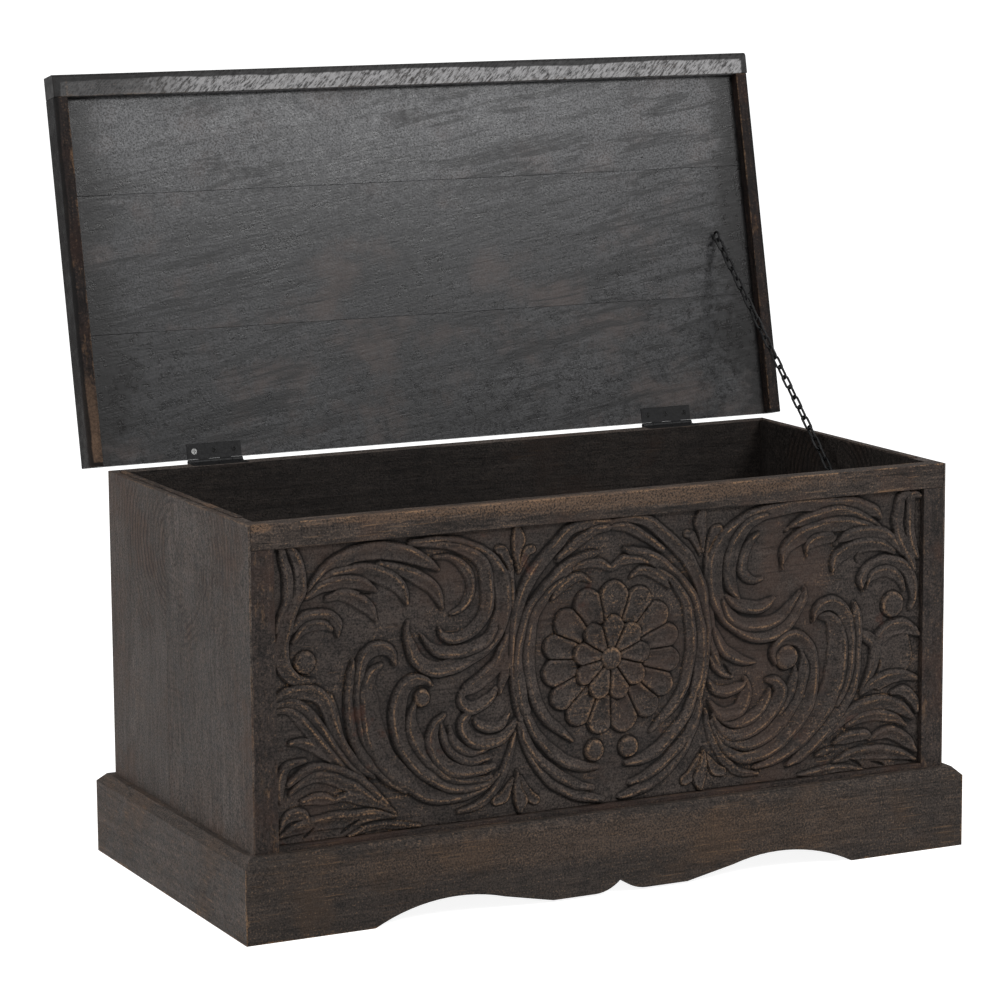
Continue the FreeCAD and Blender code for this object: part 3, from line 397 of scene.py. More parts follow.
def dark_rim(graph, colour, place, box, noise, width):
    """A lip, left nearly black along its outer edge."""
    to_edge = graph.math("MINIMUM", face_distance(graph, place, box, 0), face_distance(graph, place, box, 1))
    to_edge = graph.plus(to_edge, graph.wavering(noise.blotch, 0.010))
    return graph.blend(graph.ramp(to_edge, width + 0.001, width - 0.001, 0.0, 0.92), colour, SOOT_AND_SHADE)


def wood(name, kind, grain, boxes, painted_shade_box=None, on_lid=False, shift=(0, 0, 0), patches=(), knot=None):
    """Dark stained wood, rubbed through to tan along the edges of the joints' boxes, with painted shade
    inside the carcass.
    """
    look = WOODS[kind]
    graph = new_material(name)
    place = graph.object_place()
    if on_lid:
        place = shut_lid_place(graph, place)
    moved = graph.vector("ADD", place, shift)
    noise = WoodNoise(graph, moved, grain, LID_GRAIN_SLANT if kind == "lid" else 0.0)
    colour = ground_colour(graph, look, noise)
    if knot:
        colour = ringed_knot(graph, colour, place, knot, look, noise)
    colour = flecked(graph, colour, look, noise)
    colour = rubbed_edges(graph, colour, place, moved, boxes, look, noise)
    if patches:
        colour = rubbed_patches(graph, colour, place, moved, patches, 0.6 if kind == "lip" else 0.0, noise)
    if painted_shade_box:
        # Painted shade: the carcass's faces inside its room are darkened toward near black
        colour = graph.blend(graph.times(inside_box(graph, place, painted_shade_box), 0.72), colour, SOOT_AND_SHADE)
    if kind == "lip with painted sheen":
        colour = painted_stroke_sheen(graph, colour, place, noise)
    if kind in RIM_WIDTHS:
        colour = dark_rim(graph, colour, place, boxes[0], noise, RIM_WIDTHS[kind])
    if kind == "lid":
        colour = sheen_and_dark_bands(graph, colour, place, noise)
        colour = soiled(graph, colour, place, boxes[-1], noise)
    patchy = graph.plus(graph.times(noise.mottle, 0.6), graph.times(noise.blotch, 0.4))
    roughness = graph.ramp(patchy, 0.36, 0.62, look["roughness"] - 0.08, look["roughness"] + 0.12)
    painted = kind in ("lid", "lip with painted sheen")
    relief = surface_relief(graph, noise, painted)
    return graph.finish(colour, roughness, relief, PAINT_BUMP if painted else BARE_BUMP, look["sheen"])


def carved_wood():
    """Dark wood whose ridges are rubbed tan, and whose hollows are darkened nearly to black by painted shade
    and some dirt.
    """
    look = WOODS["carving"]
    graph = new_material("carved_wood")
    moved = graph.vector("ADD", graph.object_place(), (3.1, 0.4, 1.7))
    noise = WoodNoise(graph, moved, "X")
    crest = graph.node("Attribute", {}, attribute_name="crest").outputs["Fac"]
    hollow_dirt_and_shade = graph.node("Attribute", {}, attribute_name="hollow_dirt_and_shade").outputs["Fac"]
    colour = ground_colour(graph, look, noise)
    # Painted shade, with some dirt, darkening the grooves and the dips beside raised bands
    colour = graph.blend(graph.times(hollow_dirt_and_shade, 0.88), colour, SOOT_AND_SHADE)

    reddened = graph.ramp(graph.noise(moved, 16, detail=5, roughness=0.7), 0.60, 0.70)
    colour = graph.blend(graph.times(reddened, 0.35), colour, RED_BROWN)
    dusty = graph.ramp(graph.noise(moved, 11, detail=6, roughness=0.75), 0.48, 0.64)
    flecks = graph.times(graph.ramp(noise.fine, 0.54, 0.66), graph.ramp(noise.fibres, 0.44, 0.58))
    colour = graph.blend(graph.times(graph.times(flecks, dusty), 0.55), colour, TAN)
    scratches = graph.times(graph.ramp(noise.hair, 0.57, 0.66), dusty)
    colour = graph.blend(graph.times(scratches, 0.30), colour, TAN)
    patchy = graph.ramp(graph.noise(moved, 21, detail=6, roughness=0.8), 0.44, 0.62, 0.03, 1.0)
    rubbed = graph.times(graph.times(crest, patchy), graph.ramp(noise.fine, 0.40, 0.56))
    colour = graph.blend(graph.times(rubbed, 0.72), colour, TAN)

    roughness = graph.ramp(noise.mottle, 0.36, 0.62, look["roughness"] - 0.1, look["roughness"] + 0.12)
    return graph.finish(colour, roughness, surface_relief(graph, noise), CARVED_BUMP, look["sheen"])


# Metals

IRON = (0.011, 0.011, 0.0115)
WORN_IRON = (0.045, 0.044, 0.043)
BLACK_STEEL = (0.003, 0.003, 0.003)
WORN_STEEL = (0.018, 0.018, 0.018)
BRIGHT_STEEL = (0.26, 0.26, 0.255)
BRIGHT_SCREW = HINGE_PIN + Vector((-0.337, 0.003, 0.013))
SCREW_REACH = 0.008


def black_iron():
    graph = new_material("black_iron")
    place = graph.object_place()
    mottle = graph.noise(place, 260, detail=4, roughness=0.6)
    rubbed = graph.ramp(graph.noise(place, 90, detail=5, roughness=0.7), 0.56, 0.74)
    colour = graph.blend(graph.times(rubbed, 0.5), IRON, WORN_IRON)
    roughness = graph.ramp(mottle, 0.3, 0.7, 0.42, 0.60)
    return graph.finish(colour, roughness, mottle, 0.0002, 0.30, metallic=0.5)


def screw_steel():
    """Blackened steel, but one screw of the left hinge is bare."""
    graph = new_material("screw_steel")
    place = graph.object_place()
    away = graph.length(graph.vector("SUBTRACT", place, BRIGHT_SCREW))
    bare = graph.ramp(away, SCREW_REACH, SCREW_REACH + MM, 1.0, 0.0)
    mottle = graph.noise(place, 320, detail=4)
    dark = graph.blend(graph.ramp(mottle, 0.4, 0.7), BLACK_STEEL, WORN_STEEL)
    colour = graph.blend(bare, dark, BRIGHT_STEEL)
    roughness = graph.ramp(mottle, 0.3, 0.7, 0.30, 0.46)
    return graph.finish(colour, roughness, mottle, 0.0001, 0.5, metallic=0.7)


# Carved relief of the front panel. Places are in millimetres: outward from the middle, and up

GROUND_DEPTH = 8.6
PANEL_HALF_WIDTH = 419.7
PANEL_BOTTOM = 102.8
PANEL_TOP = 437.7
SKIN = 0.4
TONGUE_THICKNESS = 6
GRID_STEP = 1.0
ROSETTE_UP = 274

# The moat that the gouge leaves round a shape, the width over which a shape's outline falls, and
# how far its lines waver
MOAT_DEPTH = 2.4
MOAT_WIDTH = 2.4
STEEP_WALL = 1.4
SOFT_WALL = 2.6
WOBBLE = 0.8


def lattice_noise(shape, cell, seed):
    """Smooth noise from -1 to 1 over a grid, one random value to each cell."""
    cells = tuple(int(size / cell) + 3 for size in shape)
    values = np.random.default_rng(seed).uniform(-1, 1, cells)
    rows = np.arange(shape[0]) / cell
    columns = np.arange(shape[1]) / cell
    row, column = rows.astype(int), columns.astype(int)
    down = (rows - row)[:, None]
    right = (columns - column)[None, :]
    down = down * down * (3 - 2 * down)
    right = right * right * (3 - 2 * right)
    corner = values[np.ix_(row, column)] * (1 - right) + values[np.ix_(row, column + 1)] * right
    below = values[np.ix_(row + 1, column)] * (1 - right) + values[np.ix_(row + 1, column + 1)] * right
    return corner * (1 - down) + below * down


def blurred(field, radius):
    """The field after three passes of a box blur."""
    reach = max(1, int(round(radius / GRID_STEP)))
    kernel = np.ones(2 * reach + 1) / (2 * reach + 1)
    for _ in range(3):
        for axis in (0, 1):
            padding = [(reach, reach) if axis == number else (0, 0) for number in (0, 1)]
            padded = np.pad(field, padding, mode="edge")
            field = np.apply_along_axis(lambda line: np.convolve(line, kernel, "valid"), axis, padded)
    return field


def smooth_path(points, pieces=10):
    """A smooth curve through the points, as short straight runs."""
    points = np.array(points, float)
    padded = np.vstack([2 * points[0] - points[1], points, 2 * points[-1] - points[-2]])
    path = []
    for number in range(len(points) - 1):
        before, start, end, after = padded[number:number + 4]
        for step in range(pieces):
            t = step / pieces
            path.append(0.5 * (2 * start + (end - before) * t
                               + (2 * before - 5 * start + 4 * end - after) * t ** 2
                               + (3 * start - before - 3 * end + after) * t ** 3))
    path.append(points[-1])
    return np.array(path)


def eased(value, low, high):
    """0 below one value and 1 above another, with a smooth rise between them."""
    t = np.clip((value - low) / (high - low), 0, 1)
    return t * t * (3 - 2 * t)


class Relief:
    """One half of the panel: its depth and its rubbed crests, laid on shape by shape.

    The shapes are given as they lie on the right half; on the left half they are mirrored."""

    def __init__(self, side, seed):
        self.side = side
        self.across = np.append(np.arange(GRID_STEP / 2, PANEL_HALF_WIDTH, GRID_STEP), PANEL_HALF_WIDTH)
        self.up = np.append(np.arange(PANEL_BOTTOM, PANEL_TOP, GRID_STEP), PANEL_TOP)
        u, z = np.meshgrid(self.across, self.up)
        self.u = u + WOBBLE * lattice_noise(u.shape, 16 / GRID_STEP, seed)
        self.z = z + WOBBLE * lattice_noise(u.shape, 16 / GRID_STEP, seed + 1)
        self.uneven = (0.22 * lattice_noise(u.shape, 3 / GRID_STEP, seed + 2)
                       + 0.35 * lattice_noise(u.shape, 13 / GRID_STEP, seed + 3))
        self.depth = np.full(u.shape, GROUND_DEPTH - MOAT_DEPTH)
        self.crest = np.zeros(u.shape)

    def window(self, points, margin):
        """The slices of the grid that a shape with these outer points can touch."""
        low = points.min(axis=0) - margin
        high = points.max(axis=0) + margin
        columns = np.searchsorted(self.across, (low[0], high[0]))
        rows = np.searchsorted(self.up, (low[1], high[1]))
        return slice(rows[0], rows[1]), slice(columns[0], columns[1])

    def paint(self, window, inside, depth, crest=0.0, moat=MOAT_DEPTH, wall=STEEP_WALL):
        """Lay a shape over what is there; inside is the distance in from its outline."""
        under = self.depth[window]
        groove = np.clip(1 + inside / MOAT_WIDTH, 0, 1) ** 2 * (inside < 0.4)
        under = np.minimum(under + moat * groove, GROUND_DEPTH)
        cover = eased(inside, -wall / 2, wall / 2)
        self.depth[window] = under * (1 - cover) + depth * cover
        self.crest[window] = self.crest[window] * (1 - cover) + crest * cover

    def along(self, window, path):
        """For each place in the window: how far the path is, 1 on its left and -1 on its right, and
        its width there."""
        u, z = self.u[window], self.z[window]
        nearest = np.full(u.shape, np.inf)
        side = np.zeros(u.shape)
        width = np.ones(u.shape)
        for start, end in zip(path[:-1], path[1:]):
            run_u, run_z = end[:2] - start[:2]
            length = max(run_u ** 2 + run_z ** 2, 1e-9)
            t = np.clip(((u - start[0]) * run_u + (z - start[1]) * run_z) / length, 0, 1)
            off_u = u - start[0] - t * run_u
            off_z = z - start[1] - t * run_z
            distance = off_u ** 2 + off_z ** 2
            nearer = distance < nearest
            nearest = np.where(nearer, distance, nearest)
            side = np.where(nearer, np.sign(run_u * off_z - run_z * off_u), side)
            width = np.where(nearer, start[2] + t * (end[2] - start[2]), width)
        return np.sqrt(nearest), side, width

    def blade(self, depth, points):
        """A blade along its crest, rounded over to one side and scooped out on the other.

        Its points are (outward, up, width of the scoop). The scoop lies to the left of the way they
        run, or to the right where its width is negative."""
        path = smooth_path(points)
        window = self.window(path[:, :2], np.abs(path[:, 2]).max() + 6)
        distance, side, width = self.along(window, path)
        scooped = side * width > 0
        width = np.maximum(np.abs(width), 0.8)
        shoulder = np.minimum(5.0, 0.46 * width + 0.9)
        reach = np.where(scooped, width, shoulder)
        share = np.clip(distance / reach, 0, 1)
        scoop = np.minimum(0.22 * width, 3.2) * np.sin(0.78 * np.pi * share) ** 1.4
        fall = np.where(scooped, scoop, 1.9 * share ** 2)
        crest = np.exp(-(distance / 0.85) ** 2)
        moat = np.where(scooped, 0.6, 1.9)
        wall = np.where(scooped, SOFT_WALL, STEEP_WALL)
        self.paint(window, reach - distance, depth + fall, crest, moat, wall)

    def leaf(self, flutes, depth, points):
        """A tapering leaf along a curve of (outward, up, half width), gouged into flutes."""
        path = smooth_path(points)
        window = self.window(path[:, :2], path[:, 2].max() + 6)
        distance, side, half = self.along(window, path)
        half = np.maximum(half, 0.6)
        place = np.clip(side * distance / half, -1, 1)
        flute = np.abs(np.sin(np.pi * (place + 1) / 2 * flutes)) ** 0.8
        gouge = np.minimum(0.36 * half / flutes, 2.4) * flute
        crest = 0.7 * np.exp(-((half - distance - 1.2) / 1.0) ** 2)
        self.paint(window, half - distance, depth + gouge, crest)

    def ball(self, centre, radius, depth):
        """A round boss, highest in the middle."""
        centre = np.array(centre, float)
        window = self.window(centre[None, :], radius + 6)
        distance = np.hypot(self.u[window] - centre[0], self.z[window] - centre[1])
        dome = 3.0 * (1 - np.sqrt(np.clip(1 - (distance / radius) ** 2, 0, 1)))
        crest = 0.9 * np.exp(-((radius - distance - 2.2) / 1.6) ** 2)
        self.paint(window, radius - distance, depth + dome, crest)

    def cut(self, points):
        """A stab of the gouge down to the ground, along a curve of (outward, up, half width)."""
        path = smooth_path(points)
        window = self.window(path[:, :2], path[:, 2].max() + 4)
        distance, _, half = self.along(window, path)
        stab = GROUND_DEPTH * eased(half - distance, -1.0, 1.2)
        self.depth[window] = np.maximum(self.depth[window], stab)

    def petals(self, edges, inner, outer, depth):
        """A ring of petals between two radii; edges are the angles between them, in degrees."""
        window = self.window(np.array([[0, ROSETTE_UP]], float), outer + 6)
        x = self.side * self.u[window]
        z = self.z[window] - ROSETTE_UP
        radius = np.hypot(x, z)
        angle = np.degrees(np.arctan2(z, x)) % 360
        edges = np.sort(np.array(edges) % 360)
        number = np.searchsorted(edges, angle) % len(edges)
        start = edges[number - 1]
        span = (edges[number] - start) % 360
        share = ((angle - start) % 360) / span
        half_width = np.radians(span / 2) * radius
        off_middle = np.abs(2 * share - 1) * half_width
        # Straight sides, and a tip that is part of a circle as wide as the petal
        tip_radius = np.radians(span / 2) * (outer - 9)
        from_tip = radius - (outer - tip_radius)
        round_tip = tip_radius - np.hypot(off_middle, np.clip(from_tip, 0, None))
        inside = np.minimum(round_tip, half_width - off_middle - 0.45)
        rim = np.exp(-((inside - 2.4) / 1.5) ** 2)
        dish = 2.0 * eased(inside, 2.5, 9.0) + 0.9 * np.clip(1 - inside / 2.4, 0, 1) ** 2
        slope = 1.5 * (1 - eased(radius, inner, outer - 4))
        inside = np.where(radius > inner - 3, inside, -9)
        self.paint(window, inside, depth + dish + slope, 0.55 * rim, moat=2.6)


def waist(relief):
    """The stem between the middle ring and the side field, with a bud at each end."""
    relief.blade(2.6, [(196, 115, 3), (174, 120, 6), (159, 130, 7), (146, 146, 7), (136, 165, 7),
        (129, 184, 5), (124, 200, 2)])
    relief.blade(1.4, [(128, 398, 4), (127, 365, 7), (127, 335, 8), (128, 300, 9), (132, 276, 9),
        (138, 262, 6), (143, 248, 2)])
    relief.leaf(1, 3.0, [(143, 412, 5), (136, 408, 6), (126, 384, 2)])
    relief.leaf(1, 3.0, [(101, 410, 5), (108, 406, 5), (118, 384, 2)])
    relief.leaf(2, 1.6, [(120, 435, 5), (118, 423, 8), (120, 408, 5), (120, 388, 1.5)])
    relief.leaf(1, 3.0, [(148, 122, 6), (138, 127, 7), (127, 145, 2)])
    relief.leaf(1, 3.0, [(98, 118, 6), (106, 124, 6), (117, 146, 2)])
    relief.leaf(2, 1.4, [(118, 108, 4), (117, 118, 8), (121, 134, 5), (122, 154, 1.5)])


def middle_ring(relief):
    """The bands that ring the rosette, swept into the stem at each side."""
    relief.blade(1.8, [(119, 222, -3), (117, 205, -7), (112, 188, -9), (103, 167, -10), (90, 148, -11),
        (74, 131, -11), (52, 118, -10), (30, 111, -8), (12, 108, -4)])
    relief.blade(1.6, [(116, 202, -3), (112, 188, -5), (99, 169, -7), (82, 152, -8), (64, 138, -8),
        (45, 128, -7), (25, 123, -4)])
    relief.blade(1.2, [(115, 225, -3), (111, 219, -6), (99, 194, -8), (79, 172, -9), (61, 157, -9),
        (41, 149, -8), (19, 147, -4)])
    relief.blade(1.0, [(2, 434, -5), (30, 436, -8), (52, 430, -9), (69, 416, -10), (88, 399, -11),
        (103, 383, -11), (114, 363, -10), (122, 342, -9), (125, 318, -8), (127, 290, -8), (126, 262, -7),
        (122, 235, -6), (118, 215, -4)])
    relief.blade(1.8, [(4, 428, -5), (24, 425, -7), (48, 411, -7), (68, 396, -5)])
    relief.blade(0.4, [(18, 400, -3), (30, 397, -7), (49, 391, -9), (66, 382, -11), (81, 369, -12),
        (96, 354, -13), (108, 338, -13), (114, 320, -13), (119, 300, -12), (121, 280, -12),
        (121, 262, -11), (118, 240, -10), (112, 224, -8)])
    relief.blade(2.4, [(2, 380, -5), (16, 388, -7), (34, 388, -6), (48, 382, -2)])
    relief.blade(2.2, [(26, 366, -2), (39, 374, -6), (54, 371, -8), (68, 360, -6), (76, 350, -2)])
    relief.blade(1.6, [(62, 372, -3), (76, 363, -5), (91, 347, -7), (101, 330, -8), (106, 307, -9),
        (108, 282, -9), (106, 262, -9), (102, 244, -9), (96, 227, -9), (84, 209, -8), (66, 194, -6),
        (51, 182, -2)])
    relief.ball((22, 167), 12.5, 0.6)


def rosette(relief):
    """A double ring of petals round a boss."""
    relief.petals([5, 26, 49, 72, 101, 128, 154, 176, 200, 223, 246, 269, 296, 320, 342], 47, 90, 1.6)
    relief.petals([24, 66, 106, 147, 188, 223, 265, 303, 347], 12, 50, 0.4)
    relief.ball((0, ROSETTE_UP), 13, 0.0)


def upper_scroll(relief):
    """The banded scroll in the upper inner corner of the side field."""
    relief.blade(0.8, [(252, 431, 5), (216, 430, 9), (191, 426, 12), (166, 415, 13), (149, 402, 14),
        (137, 384, 15), (133, 362, 15), (135, 337, 15), (146, 312, 15), (164, 297, 14), (184, 287, 14),
        (204, 280, 14), (222, 279, 13), (238, 285, 12), (250, 297, 10), (257, 314, 8), (260, 330, 5),
        (257, 341, 2)])
    relief.blade(1.6, [(148, 322, 6), (158, 309, 9), (176, 301, 10), (196, 298, 10), (215, 300, 9),
        (230, 309, 6), (241, 323, 2)])
    relief.blade(1.4, [(215, 427, 3), (192, 420, 7), (174, 412, 9), (161, 399, 11), (155, 382, 12),
        (154, 360, 12), (157, 343, 11), (165, 331, 10), (177, 321, 9), (192, 315, 8), (205, 315, 7),
        (215, 321, 5), (219, 330, 2)])
    relief.blade(2.4, [(224, 411, 2), (206, 410, 4), (191, 403, 6), (181, 391, 7), (177, 375, 7),
        (181, 360, 7), (190, 350, 5), (204, 344, 2)])


def corner_acanthus(relief):
    """The blades that fan out towards the upper inner field from beside the upright leaf."""
    relief.blade(0.6, [(378, 388, 4), (366, 401, 9), (349, 416, 12), (329, 426, 13), (304, 430, 15),
        (279, 429, 16), (254, 422, 14), (234, 409, 9), (219, 397, 2)])
    relief.blade(1.4, [(290, 410, 5), (264, 402, 9), (243, 393, 12), (227, 381, 11), (218, 368, 8),
        (214, 352, 2)])
    relief.blade(1.8, [(378, 384, 3), (352, 401, 9), (330, 407, 12), (305, 407, 14), (284, 400, 15),
        (268, 388, 13), (260, 374, 9), (257, 361, 2)])
    relief.blade(1.2, [(380, 380, 3), (361, 392, 8), (341, 396, 11), (319, 394, 11), (304, 387, 7),
        (295, 380, 2)])
    relief.blade(2.2, [(356, 377, 4), (339, 381, 8), (319, 376, 12), (304, 364, 11), (295, 346, 2)])
    relief.cut([(316, 378, 0.8), (307, 377, 1.8), (299, 376, 0.8)])
    relief.blade(1.2, [(401, 344, 4), (386, 357, 8), (371, 361, 11), (354, 358, 12), (342, 348, 9),
        (343, 333, 2)])
    relief.blade(2.8, [(397, 331, 3), (388, 343, 6), (376, 349, 8), (361, 349, 8), (350, 342, 3)])


def outer_leaf(relief):
    """The upright leaf beside the stile, curling round a ball at its foot."""
    relief.blade(1.8, [(411, 437, -6), (405, 412, -8), (403, 392, -8), (405, 377, -7), (413, 360, -5),
        (418, 345, -3)])
    relief.blade(0.8, [(397, 437, 6), (389, 424, 8), (385, 404, 9), (386, 384, 9), (393, 370, 8),
        (402, 349, 10), (407, 330, 12), (405, 308, 13), (397, 294, 11), (385, 287, 7), (372, 286, 2)])
    relief.ball((383, 307), 13, 0.8)


def side_leaf(relief):
    """The leaf half way down the outer edge, swept down to the foot of the scroll."""
    relief.blade(2.4, [(352, 266, 3), (347, 250, 5), (343, 233, 5), (338, 216, 3)])
    relief.blade(2.4, [(402, 217, 3), (388, 218, 7), (373, 213, 9), (360, 203, 8), (346, 189, 4)])
    relief.blade(0.8, [(419, 270, 6), (408, 275, 9), (391, 278, 12), (374, 276, 13), (361, 267, 12),
        (353, 252, 11), (348, 234, 10), (341, 217, 9), (331, 198, 9), (318, 182, 7), (302, 168, 3)])
    relief.blade(2.0, [(418, 262, 4), (402, 265, 7), (388, 259, 9), (374, 246, 10), (362, 229, 10),
        (352, 212, 9), (341, 196, 8), (328, 180, 6), (312, 167, 2)])
    relief.blade(3.0, [(419, 255, 3), (404, 256, 5), (390, 246, 8), (376, 230, 9), (362, 212, 9),
        (349, 196, 8), (336, 181, 6), (320, 167, 3)])


def corner_fan(relief):
    """The acanthus in the lower outer corner."""
    relief.blade(3.4, [(332, 104, 2), (312, 110, 5), (290, 112, 6), (266, 109, 5), (245, 105, 2)])
    relief.blade(2.4, [(417, 112, 2), (399, 121, 8), (374, 126, 12), (349, 128, 14), (324, 127, 12),
        (299, 126, 8), (274, 120, 2)])
    relief.cut([(387, 106, 1.5), (381, 112, 2.6), (374, 118, 0.8)])
    relief.cut([(341, 108, 1.8), (333, 114, 2.8), (320, 121, 0.8)])
    relief.blade(2.6, [(417, 118, 2), (411, 131, 6), (398, 139, 10), (387, 135, 8), (381, 126, 2)])
    relief.blade(2.6, [(388, 150, 4), (374, 152, 8), (360, 151, 9), (348, 147, 4)])
    relief.blade(1.8, [(347, 148, 3), (334, 151, 8), (319, 149, 11), (304, 143, 10), (289, 135, 6),
        (275, 124, 2)])
    relief.blade(2.2, [(384, 196, -3), (404, 194, -6), (413, 184, -8), (416, 170, -8), (417, 155, -5)])
    relief.blade(1.2, [(405, 171, 4), (391, 182, 7), (374, 187, 9), (354, 184, 10), (336, 177, 10),
        (316, 164, 9), (299, 150, 6), (284, 135, 2)])
    relief.blade(2.2, [(403, 161, 3), (388, 172, 6), (372, 177, 8), (354, 175, 10), (336, 167, 10),
        (318, 155, 8), (300, 140, 4)])


def lower_scroll(relief):
    """The great scroll of the side field, its bands nested round one volute."""
    relief.blade(1.4, [(325, 303, -2), (329, 285, -7), (331, 264, -9), (331, 242, -10), (328, 222, -10),
        (321, 202, -10), (311, 186, -9), (297, 172, -7), (281, 158, -6), (262, 146, -4)])
    relief.blade(1.0, [(273, 293, -2), (275, 304, -6), (282, 313, -9), (292, 317, -11), (304, 315, -11),
        (314, 305, -10), (318, 290, -8), (320, 268, -7), (320, 245, -7), (316, 222, -7), (309, 204, -6),
        (300, 190, -4)])
    relief.blade(1.8, [(290, 295, -3), (302, 289, -8), (310, 275, -12), (312, 256, -18), (312, 236, -20),
        (308, 214, -22), (301, 196, -22), (291, 179, -21), (276, 163, -20), (258, 149, -18),
        (240, 138, -15), (222, 132, -12), (200, 131, -10), (178, 134, -8), (160, 142, -5), (146, 152, -2)])
    relief.blade(0.8, [(229, 266, -3), (236, 273, -7), (249, 276, -10), (262, 271, -12), (271, 260, -14),
        (276, 245, -15), (277, 230, -15), (274, 212, -14), (266, 194, -14), (254, 177, -13),
        (237, 161, -12), (218, 149, -10), (198, 142, -9), (176, 141, -7), (158, 146, -4), (146, 154, -2)])
    relief.blade(1.4, [(250, 247, -3), (256, 234, -7), (256, 218, -10), (251, 202, -12), (242, 187, -12),
        (229, 173, -11), (213, 160, -9), (195, 152, -7), (174, 149, -5), (156, 152, -3)])
    relief.blade(1.0, [(213, 229, -3), (226, 219, -8), (232, 205, -11), (229, 188, -12), (216, 169, -12),
        (196, 160, -11), (172, 159, -8), (152, 162, -4)])
    relief.blade(2.0, [(217, 218, -3), (215, 203, -7), (207, 188, -9), (194, 177, -9), (176, 172, -8),
        (156, 173, -4)])
    relief.blade(2.8, [(206, 214, -3), (204, 199, -6), (195, 188, -7), (182, 182, -7), (166, 183, -5),
        (148, 189, -2)])
    relief.blade(1.4, [(182, 230, -5), (191, 220, -9), (190, 206, -12), (180, 194, -13), (163, 189, -12),
        (145, 191, -10), (131, 201, -7), (121, 215, -3)])
    relief.blade(2.6, [(174, 218, -4), (168, 211, -7), (155, 207, -8), (141, 209, -7), (131, 222, -2)])
    relief.blade(1.6, [(134, 312, -5), (140, 298, -9), (149, 283, -12), (166, 270, -13), (182, 260, -11),
        (192, 251, -3)])
    relief.blade(2.0, [(193, 250, -5), (191, 239, -9), (181, 231, -10), (166, 234, -10), (154, 242, -8),
        (147, 253, -3)])
    relief.ball((241, 252), 10, 0.8)


def right_upper_scroll(relief):
    """The banded scroll of the right half, under the long strap that ends as a drooping leaf."""
    relief.blade(0.6, [(363, 408, 3), (356, 417, 9), (345, 423, 12), (325, 431, 13), (287, 434, 13),
        (250, 436, 12), (212, 432, 12), (187, 427, 12), (165, 417, 13), (147, 404, 14), (136, 389, 15),
        (131, 369, 16), (131, 347, 16), (136, 327, 15), (147, 307, 14), (162, 294, 13), (180, 282, 13),
        (200, 277, 13), (220, 279, 13), (235, 287, 12), (247, 302, 12), (257, 319, 9), (259, 332, 2)])
    relief.blade(1.6, [(148, 324, 5), (155, 308, 9), (170, 297, 10), (190, 291, 11), (210, 292, 10),
        (228, 300, 8), (240, 313, 6), (252, 328, 2)])
    relief.blade(1.2, [(206, 424, 4), (192, 421, 8), (180, 416, 10), (166, 402, 12), (157, 385, 13),
        (153, 367, 13), (154, 350, 12), (161, 336, 8), (168, 328, 3)])
    relief.blade(2.0, [(196, 402, 2), (183, 394, 6), (174, 378, 8), (172, 362, 8), (178, 351, 8),
        (190, 346, 5), (201, 348, 2)])
    relief.blade(1.0, [(152, 330, 4), (162, 321, 8), (178, 315, 10), (196, 312, 10), (208, 316, 8),
        (217, 324, 2)])


def right_acanthus(relief):
    """The blades that fan out to the left from the upper right corner."""
    relief.blade(1.4, [(232, 403, 2), (250, 412, -7), (275, 419, -11), (300, 422, -12), (322, 418, -10),
        (345, 408, -7), (362, 397, -3)])
    relief.blade(1.2, [(228, 358, 2), (229, 374, -7), (234, 387, -11), (250, 398, -14), (275, 405, -14),
        (300, 408, -13), (325, 406, -11), (350, 397, -8), (371, 383, -3)])
    relief.blade(2.2, [(261, 369, 2), (262, 382, -7), (275, 390, -10), (295, 391, -8)])
    relief.blade(1.0, [(301, 381, 2), (310, 388, -6), (322, 393, -9), (342, 395, -11), (365, 391, -10),
        (383, 378, -8), (396, 362, -3)])
    relief.blade(1.8, [(297, 345, 2), (298, 358, -9), (303, 369, -13), (317, 376, -14), (337, 380, -13),
        (362, 377, -10), (382, 366, -4)])
    relief.cut([(331, 368, 0.8), (328, 360, 1.8), (333, 353, 0.8)])
    relief.blade(1.0, [(338, 321, 2), (335, 334, -9), (341, 346, -12), (352, 353, -13), (370, 357, -13),
        (390, 353, -12), (404, 342, -11), (410, 325, -9), (411, 308, -6), (406, 294, -3)])
    relief.blade(2.4, [(344, 324, 2), (350, 338, -7), (365, 345, -9), (380, 342, -9), (392, 331, -7),
        (397, 318, -3)])
    relief.blade(2.0, [(419, 430, 4), (406, 433, 7), (403, 412, 8), (403, 392, 8), (407, 372, 7),
        (414, 356, 4)])
    relief.blade(1.2, [(398, 436, 6), (389, 428, 9), (386, 414, 10), (384, 400, 10), (387, 385, 10),
        (394, 371, 10), (403, 356, 8), (410, 342, 4)])
    relief.ball((381, 301), 15.5, 0.8)


def right_side_leaf(relief):
    """The leaf half way down the right edge, with the smooth field under it."""
    relief.leaf(1, 3.2, [(383, 262, 20), (384, 238, 25), (378, 222, 18), (362, 206, 8)])
    relief.blade(1.0, [(356, 246, 2), (357, 258, -9), (362, 267, -13), (375, 276, -15), (395, 278, -14),
        (409, 270, -10), (418, 262, -4)])
    relief.blade(1.6, [(333, 273, 3), (341, 266, 8), (348, 260, 9), (355, 251, 9), (352, 232, 9),
        (345, 214, 6), (337, 199, 3)])


